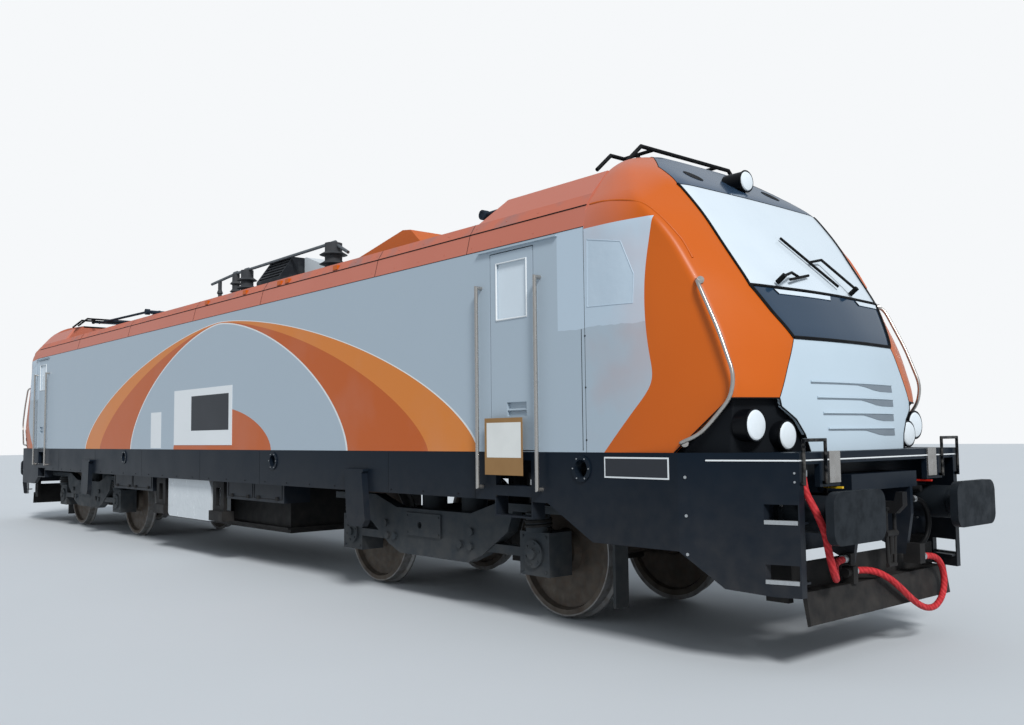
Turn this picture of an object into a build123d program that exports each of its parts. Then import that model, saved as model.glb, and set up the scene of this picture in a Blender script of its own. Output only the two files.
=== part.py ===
from build123d import *
import os
from math import radians, tan

os.makedirs("parts", exist_ok=True)

# Electric locomotive with two cabs, in millimetres. +X is forward, +Y is left and +Z is up.
# Heights are above the rail top. Every piece is lifted by the flange depth when it is saved,
# so that the wheel flanges touch z = 0. The rear end is the front end turned by half a turn.

# Driving sizes of the running gear
flange_depth = 30
wheel_diameter = 1150
wheelbase = 3000
pivot_distance = 10640
length_over_buffers = 19520

# Driving sizes of the body
half_width = 1430
wall = 60
skirt_low = 1051
floor_top = 1469
floor_thick = 80
wall_top = 3271
cant_rise = 184
cant_in = 45
kerb_rise = 105
kerb_in = 110
deck_drop = 50
cab_length = 2000
seat_gap = 0.3

half_length = length_over_buffers / 2
axle_height = wheel_diameter / 2
flange_radius = wheel_diameter / 2 + flange_depth
pivot_x = pivot_distance / 2
cab_joint = half_length - cab_length
floor_low = floor_top - floor_thick
cant_top = wall_top + cant_rise
cant_y = half_width - cant_in
kerb_top = cant_top + kerb_rise
kerb_y = half_width - kerb_in
deck_top = kerb_top - deck_drop


def prism_x(outline, x_low, x_high):
    """Closed outline of (y, z) points, drawn from x_low to x_high."""
    plane = Plane(origin=(x_low, 0, 0), x_dir=(0, 1, 0), z_dir=(1, 0, 0))
    return extrude(plane * make_face(Polyline(*outline, close=True)), x_high - x_low)


def prism_y(outline, y_low, y_high):
    """Closed outline of (x, z) points, drawn from y_low to y_high."""
    plane = Plane(origin=(0, y_low, 0), x_dir=(1, 0, 0), z_dir=(0, -1, 0))
    return extrude(plane * make_face(Polyline(*outline, close=True)), y_low - y_high)


def prism_z(outline, z_low, z_high):
    """Closed outline of (x, y) points, drawn from z_low to z_high."""
    return extrude(Plane.XY.offset(z_low) * make_face(Polyline(*outline, close=True)), z_high - z_low)


def block(x_low, x_high, y_low, y_high, z_low, z_high):
    middle = ((x_low + x_high) / 2, (y_low + y_high) / 2, (z_low + z_high) / 2)
    return Pos(*middle) * Box(abs(x_high - x_low), abs(y_high - y_low), z_high - z_low)


def rod(start, end, radius):
    start, end = Vector(*start), Vector(*end)
    return Part() + Solid.make_cylinder(radius, (end - start).length, Plane(origin=start, z_dir=end - start))


def bar(points, radius):
    """Round bar along straight runs, mitred at the corners."""
    path = Polyline(*points)
    return sweep(Plane(origin=path @ 0, z_dir=path % 0) * Circle(radius), path, transition=Transition.RIGHT)


def hose(name, points, radius):
    """Hose of straight runs and tangent bends through (ahead of the headstock, y, z) points."""
    points = [Vector(headstock_x + ahead, y, z) for ahead, y, z in points]
    bends = []
    for before, here, after in zip(points, points[1:], points[2:]):
        arriving, leaving = here - before, after - here
        half_turn = radians(arriving.get_angle(leaving)) / 2
        bends.append(bend_share * min(arriving.length, leaving.length) / tan(half_turn))
    path = FilletPolyline(*points, radius=bends)
    print(name, "length", round(path.length), "bend radii", [round(bend) for bend in bends])
    return sweep(Plane(origin=path @ 0, z_dir=path % 0) * Circle(radius), path)


def mirror_y(shape):
    return mirror(shape, about=Plane.XZ)


def turned(shape):
    """The same piece at the other end: half a turn about the vertical axis."""
    return Rot(0, 0, 180) * shape


def both_ends(*shapes):
    return [*shapes, *[turned(shape) for shape in shapes]]


def save(name, *shapes):
    solids = [solid for shape in shapes for solid in shape.solids()]
    lifted = [Pos(0, 0, flange_depth) * solid for solid in solids]
    export_step(lifted[0] if len(lifted) == 1 else Compound(lifted), f"parts/{name}.step")


# Cab

# Level sections of the cab skin. Each row has the height, then for the flank's end, for the crease
# beside the corner pillar and for the edge of the front how far it lies behind the buffer faces and
# in from the side, and last how far behind the buffer faces the middle of the front lies.
mask_low = 2300
windscreen_low = 2700
windscreen_top = cant_top + 115
cowl_top = cant_top + 325
middle_y = 250
cab_sections = [
    (floor_top, 1460, 0, 720, 130, 510, 530, 430),
    (1900, 1460, 0, 680, 130, 545, 490, 460),
    (mask_low, 1460, 0, 780, 120, 570, 670, 530),
    (windscreen_low, 1510, 0, 960, 100, 750, 420, 730),
    (wall_top - 221, 1610, 0, 1160, 80, 998, 443, 978),
    (wall_top, 1680, 0, 1340, 55, 1154, 455, 1134),
    (cant_top, 1760, cant_in, 1530, 90, 1284, 465, 1264),
    (cant_top + 145, 1810, 158, 1650, 210, 1390, 475, 1370),
    (cowl_top, 1910, 300, 1800, 330, 1645, 550, 1625),
    (cant_top + 465, 1960, 530, 1910, 580, 1850, 730, 1830),
    (cant_top + 535, 1970, 870, 1960, 890, 1945, 930, 1935),
]
cab_top = cant_top + 535
windscreen_glass = 30


def cab_solid(inset, back=cab_joint):
    """The cab skin filled in, with its walls moved in by the inset and open at the back."""
    faces = []
    for height, flank, flank_in, crease, crease_in, front, front_in, middle in cab_sections:
        corners = [(flank, flank_in, 10), (crease, crease_in, 20), (front, front_in - inset * 0.6, 30)]
        side = [(back, inset + flank_in - half_width)]
        for behind, inward, step in corners:
            side.append((max(half_length - behind - inset, back + step), inset + inward - half_width))
        side.append((max(half_length - middle - inset, back + 40), -middle_y))
        other = [(x, -y) for x, y in reversed(side)]
        if height >= cant_top:
            height -= inset
        elif height == floor_top and inset:
            height -= 1
        faces.append(Plane.XY.offset(height) * make_face(Polyline(*side, *other, close=True)))
    return loft(faces, ruled=True)


def seen_from_ahead(edge):
    """Outline across the front from (in from the side, height) points of its left edge."""
    left = [(half_width - inward, height) for inward, height in edge]
    return left + [(-y, z) for y, z in reversed(left)]


# Panels of the front, by their left edge as (in from the side, height)
nose_edge = [(750, floor_top), (710, floor_top + 121), (630, floor_top + 231), (500, floor_top + 321)]
nose_edge += [(490, floor_top + 381), (690, mask_low)]
mask_edge = [(690, mask_low), (420, windscreen_low)]
screen_edge = [(420, windscreen_low), (473, windscreen_top)]
cap_edge = [(473, windscreen_top), (550, cowl_top), (730, cant_top + 465), (930, cab_top + 110)]
# Lamp recess below each front corner, as (behind the buffer faces, height) seen from the side
recess_top = floor_top + 381
recess_side = [(1160, floor_top), (715, recess_top), (0, recess_top), (0, floor_top)]
recess_depth = 60
recess_panel = 40
# Side window of the cab, as (behind the buffer faces, below the wall top)
side_window = [(1970, 651), (1500, 671), (1490, 451), (1610, 181), (1960, 111)]
# Nose louvres: down from the mask, then how far each runs to the right and to the left
nose_louvres = [(330, 600, 560), (445, 550, 550), (560, 500, 530), (675, 460, 520)]
louvre_slit = 8
louvre_deep = 45
# Pockets of the wipers at the foot of the windscreen, as (y, above the windscreen's foot)
wiper_pockets = [
    [(-660, 0), (50, 0), (0, -45), (-630, -50)],
    [(470, 0), (880, 0), (860, -50), (520, -45)],
]
pocket_depth = 25
horn_y = 550
horn_drop = 40
horn_radius = 75

skin = cab_solid(0)
shell = skin - cab_solid(wall, back=cab_joint - 10)
end_wall = skin & block(cab_joint, cab_joint + wall, -half_width, half_width, cant_top - 10, cab_top + 10)
end_wall -= block(cab_joint - 5, cab_joint + wall + 5, -half_width, half_width, cant_top - 20, cant_top)
shell += end_wall

reach_back = half_length - 1600
nose_cutter = prism_x(seen_from_ahead(nose_edge), reach_back, half_length)
mask_cutter = prism_x(seen_from_ahead(mask_edge), reach_back, half_length)
screen_cutter = prism_x(seen_from_ahead(screen_edge), reach_back, half_length)
cap_cutter = prism_x(seen_from_ahead(cap_edge), cab_joint + wall, half_length)
recess_front = [(half_width - inward, height) for inward, height in nose_edge[:5]]
recess_front += [(half_width + 70, recess_top), (half_width + 70, floor_top)]
recess_cutter = prism_y([(half_length - behind, height) for behind, height in recess_side], 0, half_width + 70)
recess_cutter &= prism_x(recess_front, reach_back, half_length)
recess_cutters = [recess_cutter, mirror_y(recess_cutter)]
window_outline = [(half_length - behind, wall_top - below) for behind, below in side_window]
window_cutter = prism_y(window_outline, half_width - 130, half_width + 70)
window_cutters = [window_cutter, mirror_y(window_cutter)]

nose_panel = shell & nose_cutter
for drop, right, left in nose_louvres:
    top = mask_low - drop
    slot = [(-right, top), (left, top), (left - 10, top - louvre_deep * 0.7), (left * 0.6, top - louvre_deep)]
    slot += [(0, top - louvre_slit), (-right, top - louvre_slit)]
    nose_panel -= prism_x(slot, reach_back, half_length)
rind = skin - cab_solid(pocket_depth)
front_mask = shell & mask_cutter
for pocket in wiper_pockets:
    outline = [(y, windscreen_low + above) for y, above in pocket]
    front_mask -= rind & prism_x(outline, reach_back, half_length)
glazing = skin - cab_solid(windscreen_glass)
windscreen = glazing & screen_cutter
side_glass = [glazing & cutter for cutter in window_cutters]
roof_cap = shell & cap_cutter
horn_z = cowl_top - horn_drop
for side in (-1, 1):
    opening = rod((cab_joint, side * horn_y, horn_z), (half_length, side * horn_y, horn_z), horn_radius)
    roof_cap -= rind & opening
pod_outer = cab_solid(recess_depth)
lamp_panels = [(pod_outer - cab_solid(recess_depth + recess_panel)) & cutter for cutter in recess_cutters]

cab_shell = shell - nose_cutter - mask_cutter - screen_cutter - cap_cutter
for cutter in recess_cutters + window_cutters:
    cab_shell -= cutter

save("cab_shell_front", cab_shell)
save("cab_shell_rear", turned(cab_shell))
save("nose_panels", *both_ends(nose_panel))
save("front_masks", *both_ends(front_mask, *lamp_panels))
save("roof_caps", *both_ends(roof_cap))
save("cab_windows", *both_ends(windscreen, *side_glass))

# Lamps: in from the side, above the floor, behind the buffer faces, radius
lamps = [(280, 191, 610, 115), (550, 116, 535, 105)]
lamp_length = 120
top_lamp_radius = 90
lamp_solids = []
for side in (-1, 1):
    for inward, above, behind, radius in lamps:
        y, z, x = side * (half_width - inward), floor_top + above, half_length - behind
        lamp_solids.append(rod((x - lamp_length, y, z), (x, y, z), radius) - pod_outer)
top_lamp_x = half_length - 1440
top_lamp = rod((top_lamp_x - 200, 0, cowl_top - 20), (top_lamp_x, 0, cowl_top - 20), top_lamp_radius) - skin
lamp_solids.append(top_lamp)
save("headlights", *both_ends(*lamp_solids))

# Wipers, on the plane of the windscreen: each point is y, above the windscreen's foot, off the glass
middles = {section[0]: section[-1] for section in cab_sections}
glass_slope = (middles[wall_top] - middles[windscreen_low]) / (wall_top - windscreen_low)
off_long = 1 / (1 + glass_slope ** 2) ** 0.5
wiper_radius = 11
spindle_radius = 20


def on_glass(y, above, off):
    x = half_length - middles[windscreen_low] - glass_slope * above + off * off_long
    return x, y, windscreen_low + above + off * off_long * glass_slope


# Blade's two ends and its middle, elbow of the arm, spindle
wipers = [
    [(-130, 470), (250, 70), (60, 270), (250, 300), (430, 40)],
    [(-120, 130), (-450, 60), (-285, 95), (-400, 110), (-600, 45)],
]
wiper_solids = []
for tip, heel, middle, elbow, spindle in wipers:
    wiper = rod(on_glass(*tip, 25), on_glass(*heel, 25), wiper_radius)
    wiper += rod(on_glass(*middle, 25), on_glass(*elbow, 45), wiper_radius)
    wiper += rod(on_glass(*elbow, 45), on_glass(*spindle, 60), wiper_radius)
    wiper += rod(on_glass(*spindle, -15), on_glass(*spindle, 75), spindle_radius) - skin
    wiper_solids.append(wiper)
save("wipers", *both_ends(*wiper_solids))

# Doors: how far behind the cab joint the leaf's rear edge is and the side it is on, for the front
# end, and the name of the same door at the rear end
door_width = 560
door_low = floor_top + 15
door_top = wall_top - 61
door_gap = 10
window_margin = 80
window_high = 90
window_tall = 500
front_doors = [("right", 1170, -1, "left"), ("left", 705, 1, "right")]
hinge_in = 12
hinge_radius = 11
pin_radius = 6
knuckle_length = 60
strap_length = 70
hinge_heights = (door_low + 235, door_top - 290)
handle_x = 210
handle_above = 290
handle_width = 255
handle_tall = 120
handle_deep = 30


def door_opening(x_rear, side):
    y_low, y_high = sorted((side * (half_width - wall - 20), side * (half_width + 20)))
    x_front = x_rear + door_width + door_gap
    return block(x_rear - door_gap, x_front, y_low, y_high, door_low - door_gap, door_top + door_gap)


def door_leaf(x_rear, side):
    inner, outer = side * (half_width - wall), side * half_width
    y_low, y_high = sorted((inner, outer))
    leaf = block(x_rear, x_rear + door_width, y_low, y_high, door_low, door_top)
    x_low, x_high = x_rear + window_margin, x_rear + door_width - window_margin
    z_high = door_top - window_high
    leaf -= block(x_low, x_high, y_low - 5, y_high + 5, z_high - window_tall, z_high)
    middle = (inner + outer) / 2
    glass = block(x_low, x_high, middle - 12, middle + 12, z_high - window_tall, z_high)
    x_low, z_low = x_rear + handle_x, door_low + handle_above
    recess = block(x_low, x_low + handle_width, outer - side * handle_deep, outer, z_low, z_low + handle_tall)
    grip_z = z_low + handle_tall * 0.45
    leaf -= recess
    grip_y = outer - side * handle_deep / 2
    leaf += rod((x_low - 1, grip_y, grip_z), (x_low + handle_width + 1, grip_y, grip_z), 10)
    return leaf, glass


def knuckle(x_rear, side, z_low, z_high, toward):
    """Hinge barrel on its strap, which runs along the inner face towards the leaf or the jamb."""
    x_axis = x_rear - door_gap / 2
    y_axis = side * (half_width - wall - hinge_in)
    x_low, x_high = sorted((x_axis, x_axis + toward * strap_length))
    y_low, y_high = sorted((y_axis, side * (half_width - wall)))
    barrel = rod((x_axis, y_axis, z_low), (x_axis, y_axis, z_high), hinge_radius)
    cut = rod((x_axis, y_axis, z_low - 1), (x_axis, y_axis, z_high + 1), hinge_radius)
    return barrel + (block(x_low, x_high, y_low, y_high, z_low, z_high) - cut)


def leaf_hinges(x_rear, side):
    x_axis = x_rear - door_gap / 2
    y_axis = side * (half_width - wall - hinge_in)
    for z in hinge_heights:
        barrel = knuckle(x_rear, side, z, z + knuckle_length, 1)
        yield barrel - rod((x_axis, y_axis, z - 1), (x_axis, y_axis, z + knuckle_length + 1), pin_radius + seat_gap)


def jamb_hinges(x_rear, side):
    x_axis = x_rear - door_gap / 2
    y_axis = side * (half_width - wall - hinge_in)
    for z in hinge_heights:
        lugs = knuckle(x_rear, side, z - knuckle_length, z - seat_gap, -1)
        lugs += knuckle(x_rear, side, z + knuckle_length + seat_gap, z + 2 * knuckle_length, -1)
        yield lugs + rod((x_axis, y_axis, z - 10), (x_axis, y_axis, z + knuckle_length + 10), pin_radius)


door_places = []
for name, behind, side, far_name in front_doors:
    x_rear = cab_joint - behind
    door_places.append((x_rear, side))
    leaf, glass = door_leaf(x_rear, side)
    for piece in leaf_hinges(x_rear, side):
        leaf += piece
    save(f"door_front_{name}", leaf)
    save(f"door_glass_front_{name}", glass)
    save(f"door_rear_{far_name}", turned(leaf))
    save(f"door_glass_rear_{far_name}", turned(glass))

# Side walls, cant panels and roof
side_wall = block(-cab_joint, cab_joint, -half_width, wall - half_width, floor_top, wall_top)
for place in door_places:
    side_wall -= door_opening(*place)
    side_wall -= turned(door_opening(*place))
for place in door_places:
    for piece in jamb_hinges(*place):
        side_wall += piece if place[1] < 0 else turned(piece)
save("side_wall_right", side_wall)
save("side_wall_left", turned(side_wall))

cant_outline = [(-half_width, wall_top), (-cant_y, cant_top), (wall - cant_y, cant_top), (wall - half_width, wall_top)]
cant_panel = prism_x(cant_outline, -cab_joint, cab_joint)
save("cant_panels", *both_ends(cant_panel))

kerb_thick = 60
deck_outline = [(-cant_y, cant_top), (-kerb_y, kerb_top), (kerb_thick - kerb_y, kerb_top)]
deck_outline += [(kerb_thick + 40 - kerb_y, deck_top)]
deck_outline += [(-y, z) for y, z in reversed(deck_outline)]
save("roof_deck", prism_x(deck_outline, -cab_joint, cab_joint))

cowl_foot = 1520
cowl_head = 1260
cowl_in = 300
cowl_thick = 40
cowl_y = half_width - cowl_in
cowl_outline = [(-kerb_y, kerb_top), (-cowl_y, cowl_top), (cowl_thick - cowl_y, cowl_top), (cowl_thick - kerb_y, kerb_top)]
cowl = prism_x(cowl_outline, cab_joint - cowl_foot, cab_joint)
cowl_end = [
    (cab_joint - cowl_foot - 50, kerb_top - 1), (cab_joint - cowl_foot + 60, kerb_top - 1),
    (cab_joint - cowl_head, cowl_top + 1), (cab_joint - cowl_foot - 50, cowl_top + 1),
]
cowl -= prism_y(cowl_end, -half_width, 0)
save("roof_cowls", *both_ends(cowl, mirror_y(cowl)))

# Underframe: floor, skirt, headstocks, bolsters, steps and brackets
skirt_deep = 770
corner_x = half_length - 1090
corner_in = 270
corner_y = half_width - corner_in
deck_front = half_length - 280
headstock_x = half_length - 560
headstock_thick = 120
headstock_low = 760
bolster_low = 1230
weld = 10
floor_plan = [(corner_x, -half_width), (deck_front, -corner_y), (deck_front, corner_y), (corner_x, half_width)]
floor_plan += [(-x, -y) for x, y in floor_plan]
frame = prism_z(floor_plan, floor_low, floor_top)
skirt = [(corner_x - 1370, skirt_low), (corner_x - 860, skirt_deep), (corner_x, skirt_deep), (corner_x, floor_top - weld)]
skirt = [(-x, z) for x, z in reversed(skirt)] + skirt
frame += prism_y(skirt, -half_width, wall - half_width)
frame += prism_y(skirt, half_width - wall, half_width)
corner_plan = [(corner_x, -half_width), (deck_front, -corner_y), (deck_front, wall - corner_y)]
corner_plan += [(corner_x, wall + 15 - half_width)]
corner_foot = [(-5, 400), (-5, skirt_deep), (310, 530), (630, 500), (930, 500), (930, 400)]
corner = prism_z(corner_plan, 450, floor_top - weld)
corner -= prism_y([(corner_x + x, z) for x, z in corner_foot], -half_width - 70, 0)

# Foot holes in the corner panel: height of the tread, then of the top of the hole
foot_holes = [(985, 1120), (585, 715)]
foot_hole_back = 510
foot_hole_front = 210
tread_thick = 14
tread_deep = 130
panel_slope = (half_width - corner_y) / (deck_front - corner_x)
for low, high in foot_holes:
    x_low, x_high = half_length - foot_hole_back, half_length - foot_hole_front - 80
    corner -= block(x_low, x_high, -half_width, wall + 20 - corner_y, low, high)
    y_back = (x_low - corner_x) * panel_slope - half_width
    y_front = (x_high - corner_x) * panel_slope - half_width
    tread = [(x_low, y_back), (x_high, y_front), (x_high, y_front + tread_deep), (x_low, y_back + tread_deep)]
    corner += prism_z(tread, low, low + tread_thick)
for piece in both_ends(corner, mirror_y(corner)):
    frame += piece

bolster_half = 420
bolster_y = half_width - 330
headstock_y = half_width - 200
pivot_pin = 120
pin_low = 700
for side in (-1, 1):
    x_low, x_high = sorted((side * (headstock_x - headstock_thick), side * headstock_x))
    frame += block(x_low, x_high, -headstock_y, headstock_y, headstock_low, floor_top - weld)
    x = side * pivot_x
    frame += block(x - bolster_half, x + bolster_half, -bolster_y, bolster_y, bolster_low, floor_top - weld)
    frame += rod((x, 0, pin_low), (x, 0, bolster_low + 1), pivot_pin)

# Bracket over the hook: front beam on two tapered gussets
bracket_half = 480
bracket_low = 1180
bracket_high = 1300
bracket_front = half_length - 285
gusset_y = 390
gusset_low = 660
gusset = [
    (headstock_x - 1, bracket_low + 1), (bracket_front, bracket_low + 1), (bracket_front, 970),
    (bracket_front - 55, gusset_low), (bracket_front - 145, gusset_low), (headstock_x + 120, 705),
    (headstock_x - 1, 760),
]
hook_bracket = block(headstock_x - 1, bracket_front, -bracket_half, bracket_half, bracket_low, bracket_high)
for side in (-1, 1):
    hook_bracket += prism_y(gusset, side * gusset_y - 20, side * gusset_y + 20)
# Downstands behind the hand grips at the front
grip_y = 860
downstand_low = 1230
for side in (-1, 1):
    y_low, y_high = sorted((side * (grip_y + 40), side * (grip_y - 220)))
    hook_bracket += block(deck_front - 40, deck_front, y_low, y_high, downstand_low, floor_low + 1)
frame += hook_bracket
frame += turned(hook_bracket)

# Jacking points in the skirt: x of each on the right, the left side is turned
jack_points = [corner_x - 970, pivot_x - 2860, 2650 - pivot_x]
jack_z = 1340
jack_radius = 105
jack_hole = 70
for x in jack_points:
    ring = rod((x, -half_width - 12, jack_z), (x, 1 - half_width, jack_z), jack_radius)
    hole = rod((x, -half_width - 20, jack_z), (x, wall + 5 - half_width, jack_z), jack_hole)
    frame = frame + ring + turned(ring) - hole - turned(hole)

# Brackets on the skirt at the inner end of each bogie, by x from the pivot and height
bracket_outline = [
    (-1150, 1280), (-740, 1280), (-740, 1258), (-765, 1240), (-700, 760), (-760, 690), (-1010, 690), (-1060, 760),
    (-1100, 1240), (-1150, 1258),
]
bracket_out = 70
console = prism_y([(pivot_x + x, z) for x, z in bracket_outline], -half_width - bracket_out, 1 - half_width)
for piece in both_ends(console, mirror_y(console)):
    frame += piece

# Steps below each door: foot hole through the skirt and a hanging tread
step_in = 50
step_hole_low = 1180
step_hole_high = 1400
step_low = 925
step_deep = 140
step_plate = 15
for x_rear, side in door_places:
    x_low, x_high = x_rear + step_in, x_rear + door_width - step_in
    outer, inner = side * half_width, side * (half_width - step_deep)
    hole = block(x_low, x_high, side * (half_width + 5), side * (half_width - wall - 5), step_hole_low, step_hole_high)
    step = block(x_low - step_plate, x_high + step_plate, outer, inner, step_hole_low - step_plate, step_hole_low)
    notch = block(x_low, x_high, side * (half_width + 5), side * (half_width - wall - 5), step_low, skirt_low + 40)
    step += block(x_low - step_plate, x_high + step_plate, outer, inner, step_low - step_plate, step_low)
    for x in (x_low - step_plate, x_high):
        step += block(x, x + step_plate, outer, inner, step_low - 1, step_hole_low)
    for cutter in both_ends(hole, notch):
        frame -= cutter
    for piece in both_ends(step):
        frame += piece
save("underframe", frame)

# Cab insides
bulkhead_x = cab_joint - 1410
bulkhead_thick = 50
bulkhead = block(
    bulkhead_x, bulkhead_x + bulkhead_thick, wall - half_width, half_width - wall, floor_top, wall_top
)
save("cab_bulkheads", *both_ends(bulkhead))
desk_side = [(1610, 0), (960, 0), (960, 881), (1160, 981), (1610, 781)]
desk_y = half_width - 430
desk = prism_y([(half_length - behind, floor_top + above) for behind, above in desk_side], -desk_y, desk_y)
save("driver_desks", *both_ends(desk))
seat_x = cab_joint - 260
seat_half = 270
seat_long = 500
seat_low = floor_top + 381
cushion = 110
back_top = floor_top + 1131
seat = block(seat_x, seat_x + seat_long, -seat_half, seat_half, seat_low, seat_low + cushion)
seat += block(seat_x - cushion, seat_x, -seat_half, seat_half, seat_low, back_top)
seat += rod((seat_x + seat_long / 2, 0, floor_top), (seat_x + seat_long / 2, 0, seat_low + 1), 60)
save("driver_seats", *both_ends(seat))

# Machine room, closed off from both cabs
machine_half = bulkhead_x - 650
machine_y = half_width - 530
machine_block = block(-machine_half, machine_half, -machine_y, machine_y, floor_top, wall_top - 71)
save("machine_room_block", machine_block)

# Below the floor between the bogies
tank_half = pivot_x - 3220
tank_y = half_width - 430
tank_low = 420
ledge_z = 470
ledge_out = 60
transformer = block(-tank_half, tank_half, -tank_y, tank_y, tank_low, floor_low)
transformer += block(-tank_half - 40, tank_half + 40, -tank_y - ledge_out, tank_y + ledge_out, ledge_z, ledge_z + 25)
save("transformer_tank", transformer)
box_out = half_width - 80
box_gap = 1
boxes = []
box_low = 830
for x_low, x_high in ((1970 - pivot_x, 3680 - pivot_x), (pivot_x - 4320, pivot_x - 2730)):
    boxes.append(block(x_low, x_high, -box_out, -tank_y - box_gap, box_low, floor_low))
save("underfloor_boxes", *both_ends(*boxes))
case_outline = [(-1010, 540), (-960, 500), (490, 500), (490, 960), (430, 1040), (430, floor_low), (-1010, floor_low)]
case = prism_y(case_outline, -box_out, -tank_y - ledge_out - box_gap)
save("wrapped_cases", *both_ends(case))
# Lifting stirrups beside the case: x of the plate's ends
stirrups = []
stirrup_slot = 70
for x_low, x_high in ((-1470, -1130), (560, 900)):
    middle = (x_low + x_high) / 2
    stirrup = block(x_low, x_high, -box_out, -box_out + 50, 650, floor_low)
    stirrup -= block(middle - stirrup_slot, middle + stirrup_slot, -box_out - 5, -box_out + 55, 720, 960)
    stirrup += block(x_low - 40, x_high + 40, -box_out - 40, -box_out + 130, 520, 651)
    stirrups.append(stirrup)
save("lifting_stirrups", *both_ends(*stirrups))

# Buffers, hooks and ploughs
buffer_y = 875
buffer_z = 1040
plate_width = 660
plate_height = 350
plate_thick = 60
plate_corner = 90
sleeve_radius = 130
plunger_radius = 105
sleeve_long = 360
buffers = []
for side in (-1, 1):
    centre = (half_length - plate_thick, side * buffer_y, buffer_z)
    face = Plane(origin=centre, x_dir=(0, 1, 0), z_dir=(1, 0, 0))
    buffer = extrude(face * RectangleRounded(plate_width, plate_height, plate_corner), plate_thick)
    y = side * buffer_y
    buffer += rod((headstock_x, y, buffer_z), (headstock_x + sleeve_long, y, buffer_z), sleeve_radius)
    buffer += rod((headstock_x, y, buffer_z), (headstock_x + 40, y, buffer_z), sleeve_radius + 45)
    buffer += rod((headstock_x + 350, y, buffer_z), (centre[0] + 1, y, buffer_z), plunger_radius)
    buffers.append(buffer)
save("buffers", *both_ends(*buffers))

hook_z = 1040
hook_half = 35
hook_side = [(0, -40), (360, -40), (420, 20), (420, 120), (370, 120), (350, 50), (0, 40)]
hook = prism_y([(headstock_x + x, hook_z + z) for x, z in hook_side], -hook_half, hook_half)
# Screw coupling hanging from the hook: x of its pin, then heights of the trunnion and of the loop
screw_x = headstock_x + 300
trunnion_z = hook_z - 190
loop_z = hook_z - 420
hook += rod((screw_x, -75, hook_z - 10), (screw_x, 75, hook_z - 10), 18)
for side in (-1, 1):
    hook += rod((screw_x, side * 62, hook_z - 10), (screw_x, side * 62, trunnion_z), 14)
    hook += rod((screw_x, side * 62, trunnion_z), (screw_x, side * 45, loop_z), 14)
hook += rod((screw_x, -80, trunnion_z), (screw_x, 80, trunnion_z), 24)
hook += rod((screw_x, -60, loop_z), (screw_x, 60, loop_z), 16)
hook += rod((screw_x, 0, trunnion_z - 150), (screw_x, 0, trunnion_z), 20)
save("couplers", *both_ends(hook))

# Brake hoses at the front end, with their routes as (ahead of the headstock, y, z)
bend_share = 0.45
plough_ledge = 520
red_radius = 25
black_radius = 20
gland_radius = 34
near_route = [
    (230, -1030, 1350), (230, -1030, 1220), (330, -1055, 1090), (400, -1050, 940), (410, -1030, 790),
    (400, -960, 660), (350, -850, 595), (270, -730, 615), (200, -620, 695), (200, -470, 695),
]
far_route = [
    (300, 450, 640), (300, 595, 640), (300, 745, 595), (300, 826, 472), (300, 800, 324), (300, 677, 238),
    (300, 530, 235), (300, 390, 280), (300, 262, 348), (300, 130, 430), (290, -5, 515), (250, -135, 580),
    (200, -260, 600), (200, -385, 600),
]
black_route = [
    (250, 440, 1080), (250, 560, 1080), (260, 652, 1003), (265, 683, 887), (260, 642, 774), (250, 544, 705),
    (250, 450, 705),
]
save("brake_hose_right", hose("brake_hose_right", near_route, red_radius))
save("brake_hose_left", hose("brake_hose_left", far_route, red_radius))
save("air_hose", hose("air_hose", black_route, black_radius))
near_start, near_end = near_route[0], near_route[-1]
far_start, far_end = far_route[0], far_route[-1]
black_start = black_route[0]
gland_x = headstock_x + near_start[0]
couplings = [rod((gland_x, near_start[1], near_start[2]), (gland_x, near_start[1], floor_low), gland_radius)]
black_x = headstock_x + black_start[0]
couplings.append(rod((black_x, gusset_y + 20, black_start[2]), (black_x, black_start[1], black_start[2]), 28))
near_x = headstock_x + near_end[0]
couplings.append(block(near_x - 40, near_x + 40, near_end[1], -gusset_y - 20, near_end[2] - 40, near_end[2] + 40))
far_x = headstock_x + far_end[0]
resting = block(far_x - 45, far_x + 45, far_end[1] - 60, far_end[1], plough_ledge, far_end[2] + 40)
resting += rod((far_x, far_end[1] - 59, far_end[2]), (far_x, far_end[1] - 105, far_end[2]), 36)
couplings.append(resting)
start_x = headstock_x + far_start[0]
shared = block(start_x - 100, start_x + 35, gusset_y - 20, far_start[1], far_start[2] - 45, far_start[2] + 105)
couplings.append(shared - hook_bracket)
cock_y = 660
cock_z = 1150
for side in (-1, 1):
    cock = rod((headstock_x, side * cock_y, cock_z), (headstock_x + 220, side * cock_y, cock_z), 26)
    cock += rod((headstock_x + 180, side * cock_y, cock_z), (headstock_x + 180, side * cock_y, cock_z + 60), 12)
    couplings.append(cock)
save("hose_couplings", *couplings)

plough_y = half_width - 410
plough_side = [(80, 700), (110, 700), (110, plough_ledge), (220, plough_ledge), (250, 300), (225, 290)]
plough_side += [(190, plough_ledge - 30), (80, plough_ledge - 30)]
plough = prism_y([(headstock_x + x, z) for x, z in plough_side], -plough_y, plough_y)
for side in (-1, 1):
    y_low, y_high = sorted((side * (plough_y - 60), side * plough_y))
    plough += block(headstock_x - 100, headstock_x + 81, y_low, y_high, 430, headstock_low)
save("ploughs", *both_ends(plough))

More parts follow.
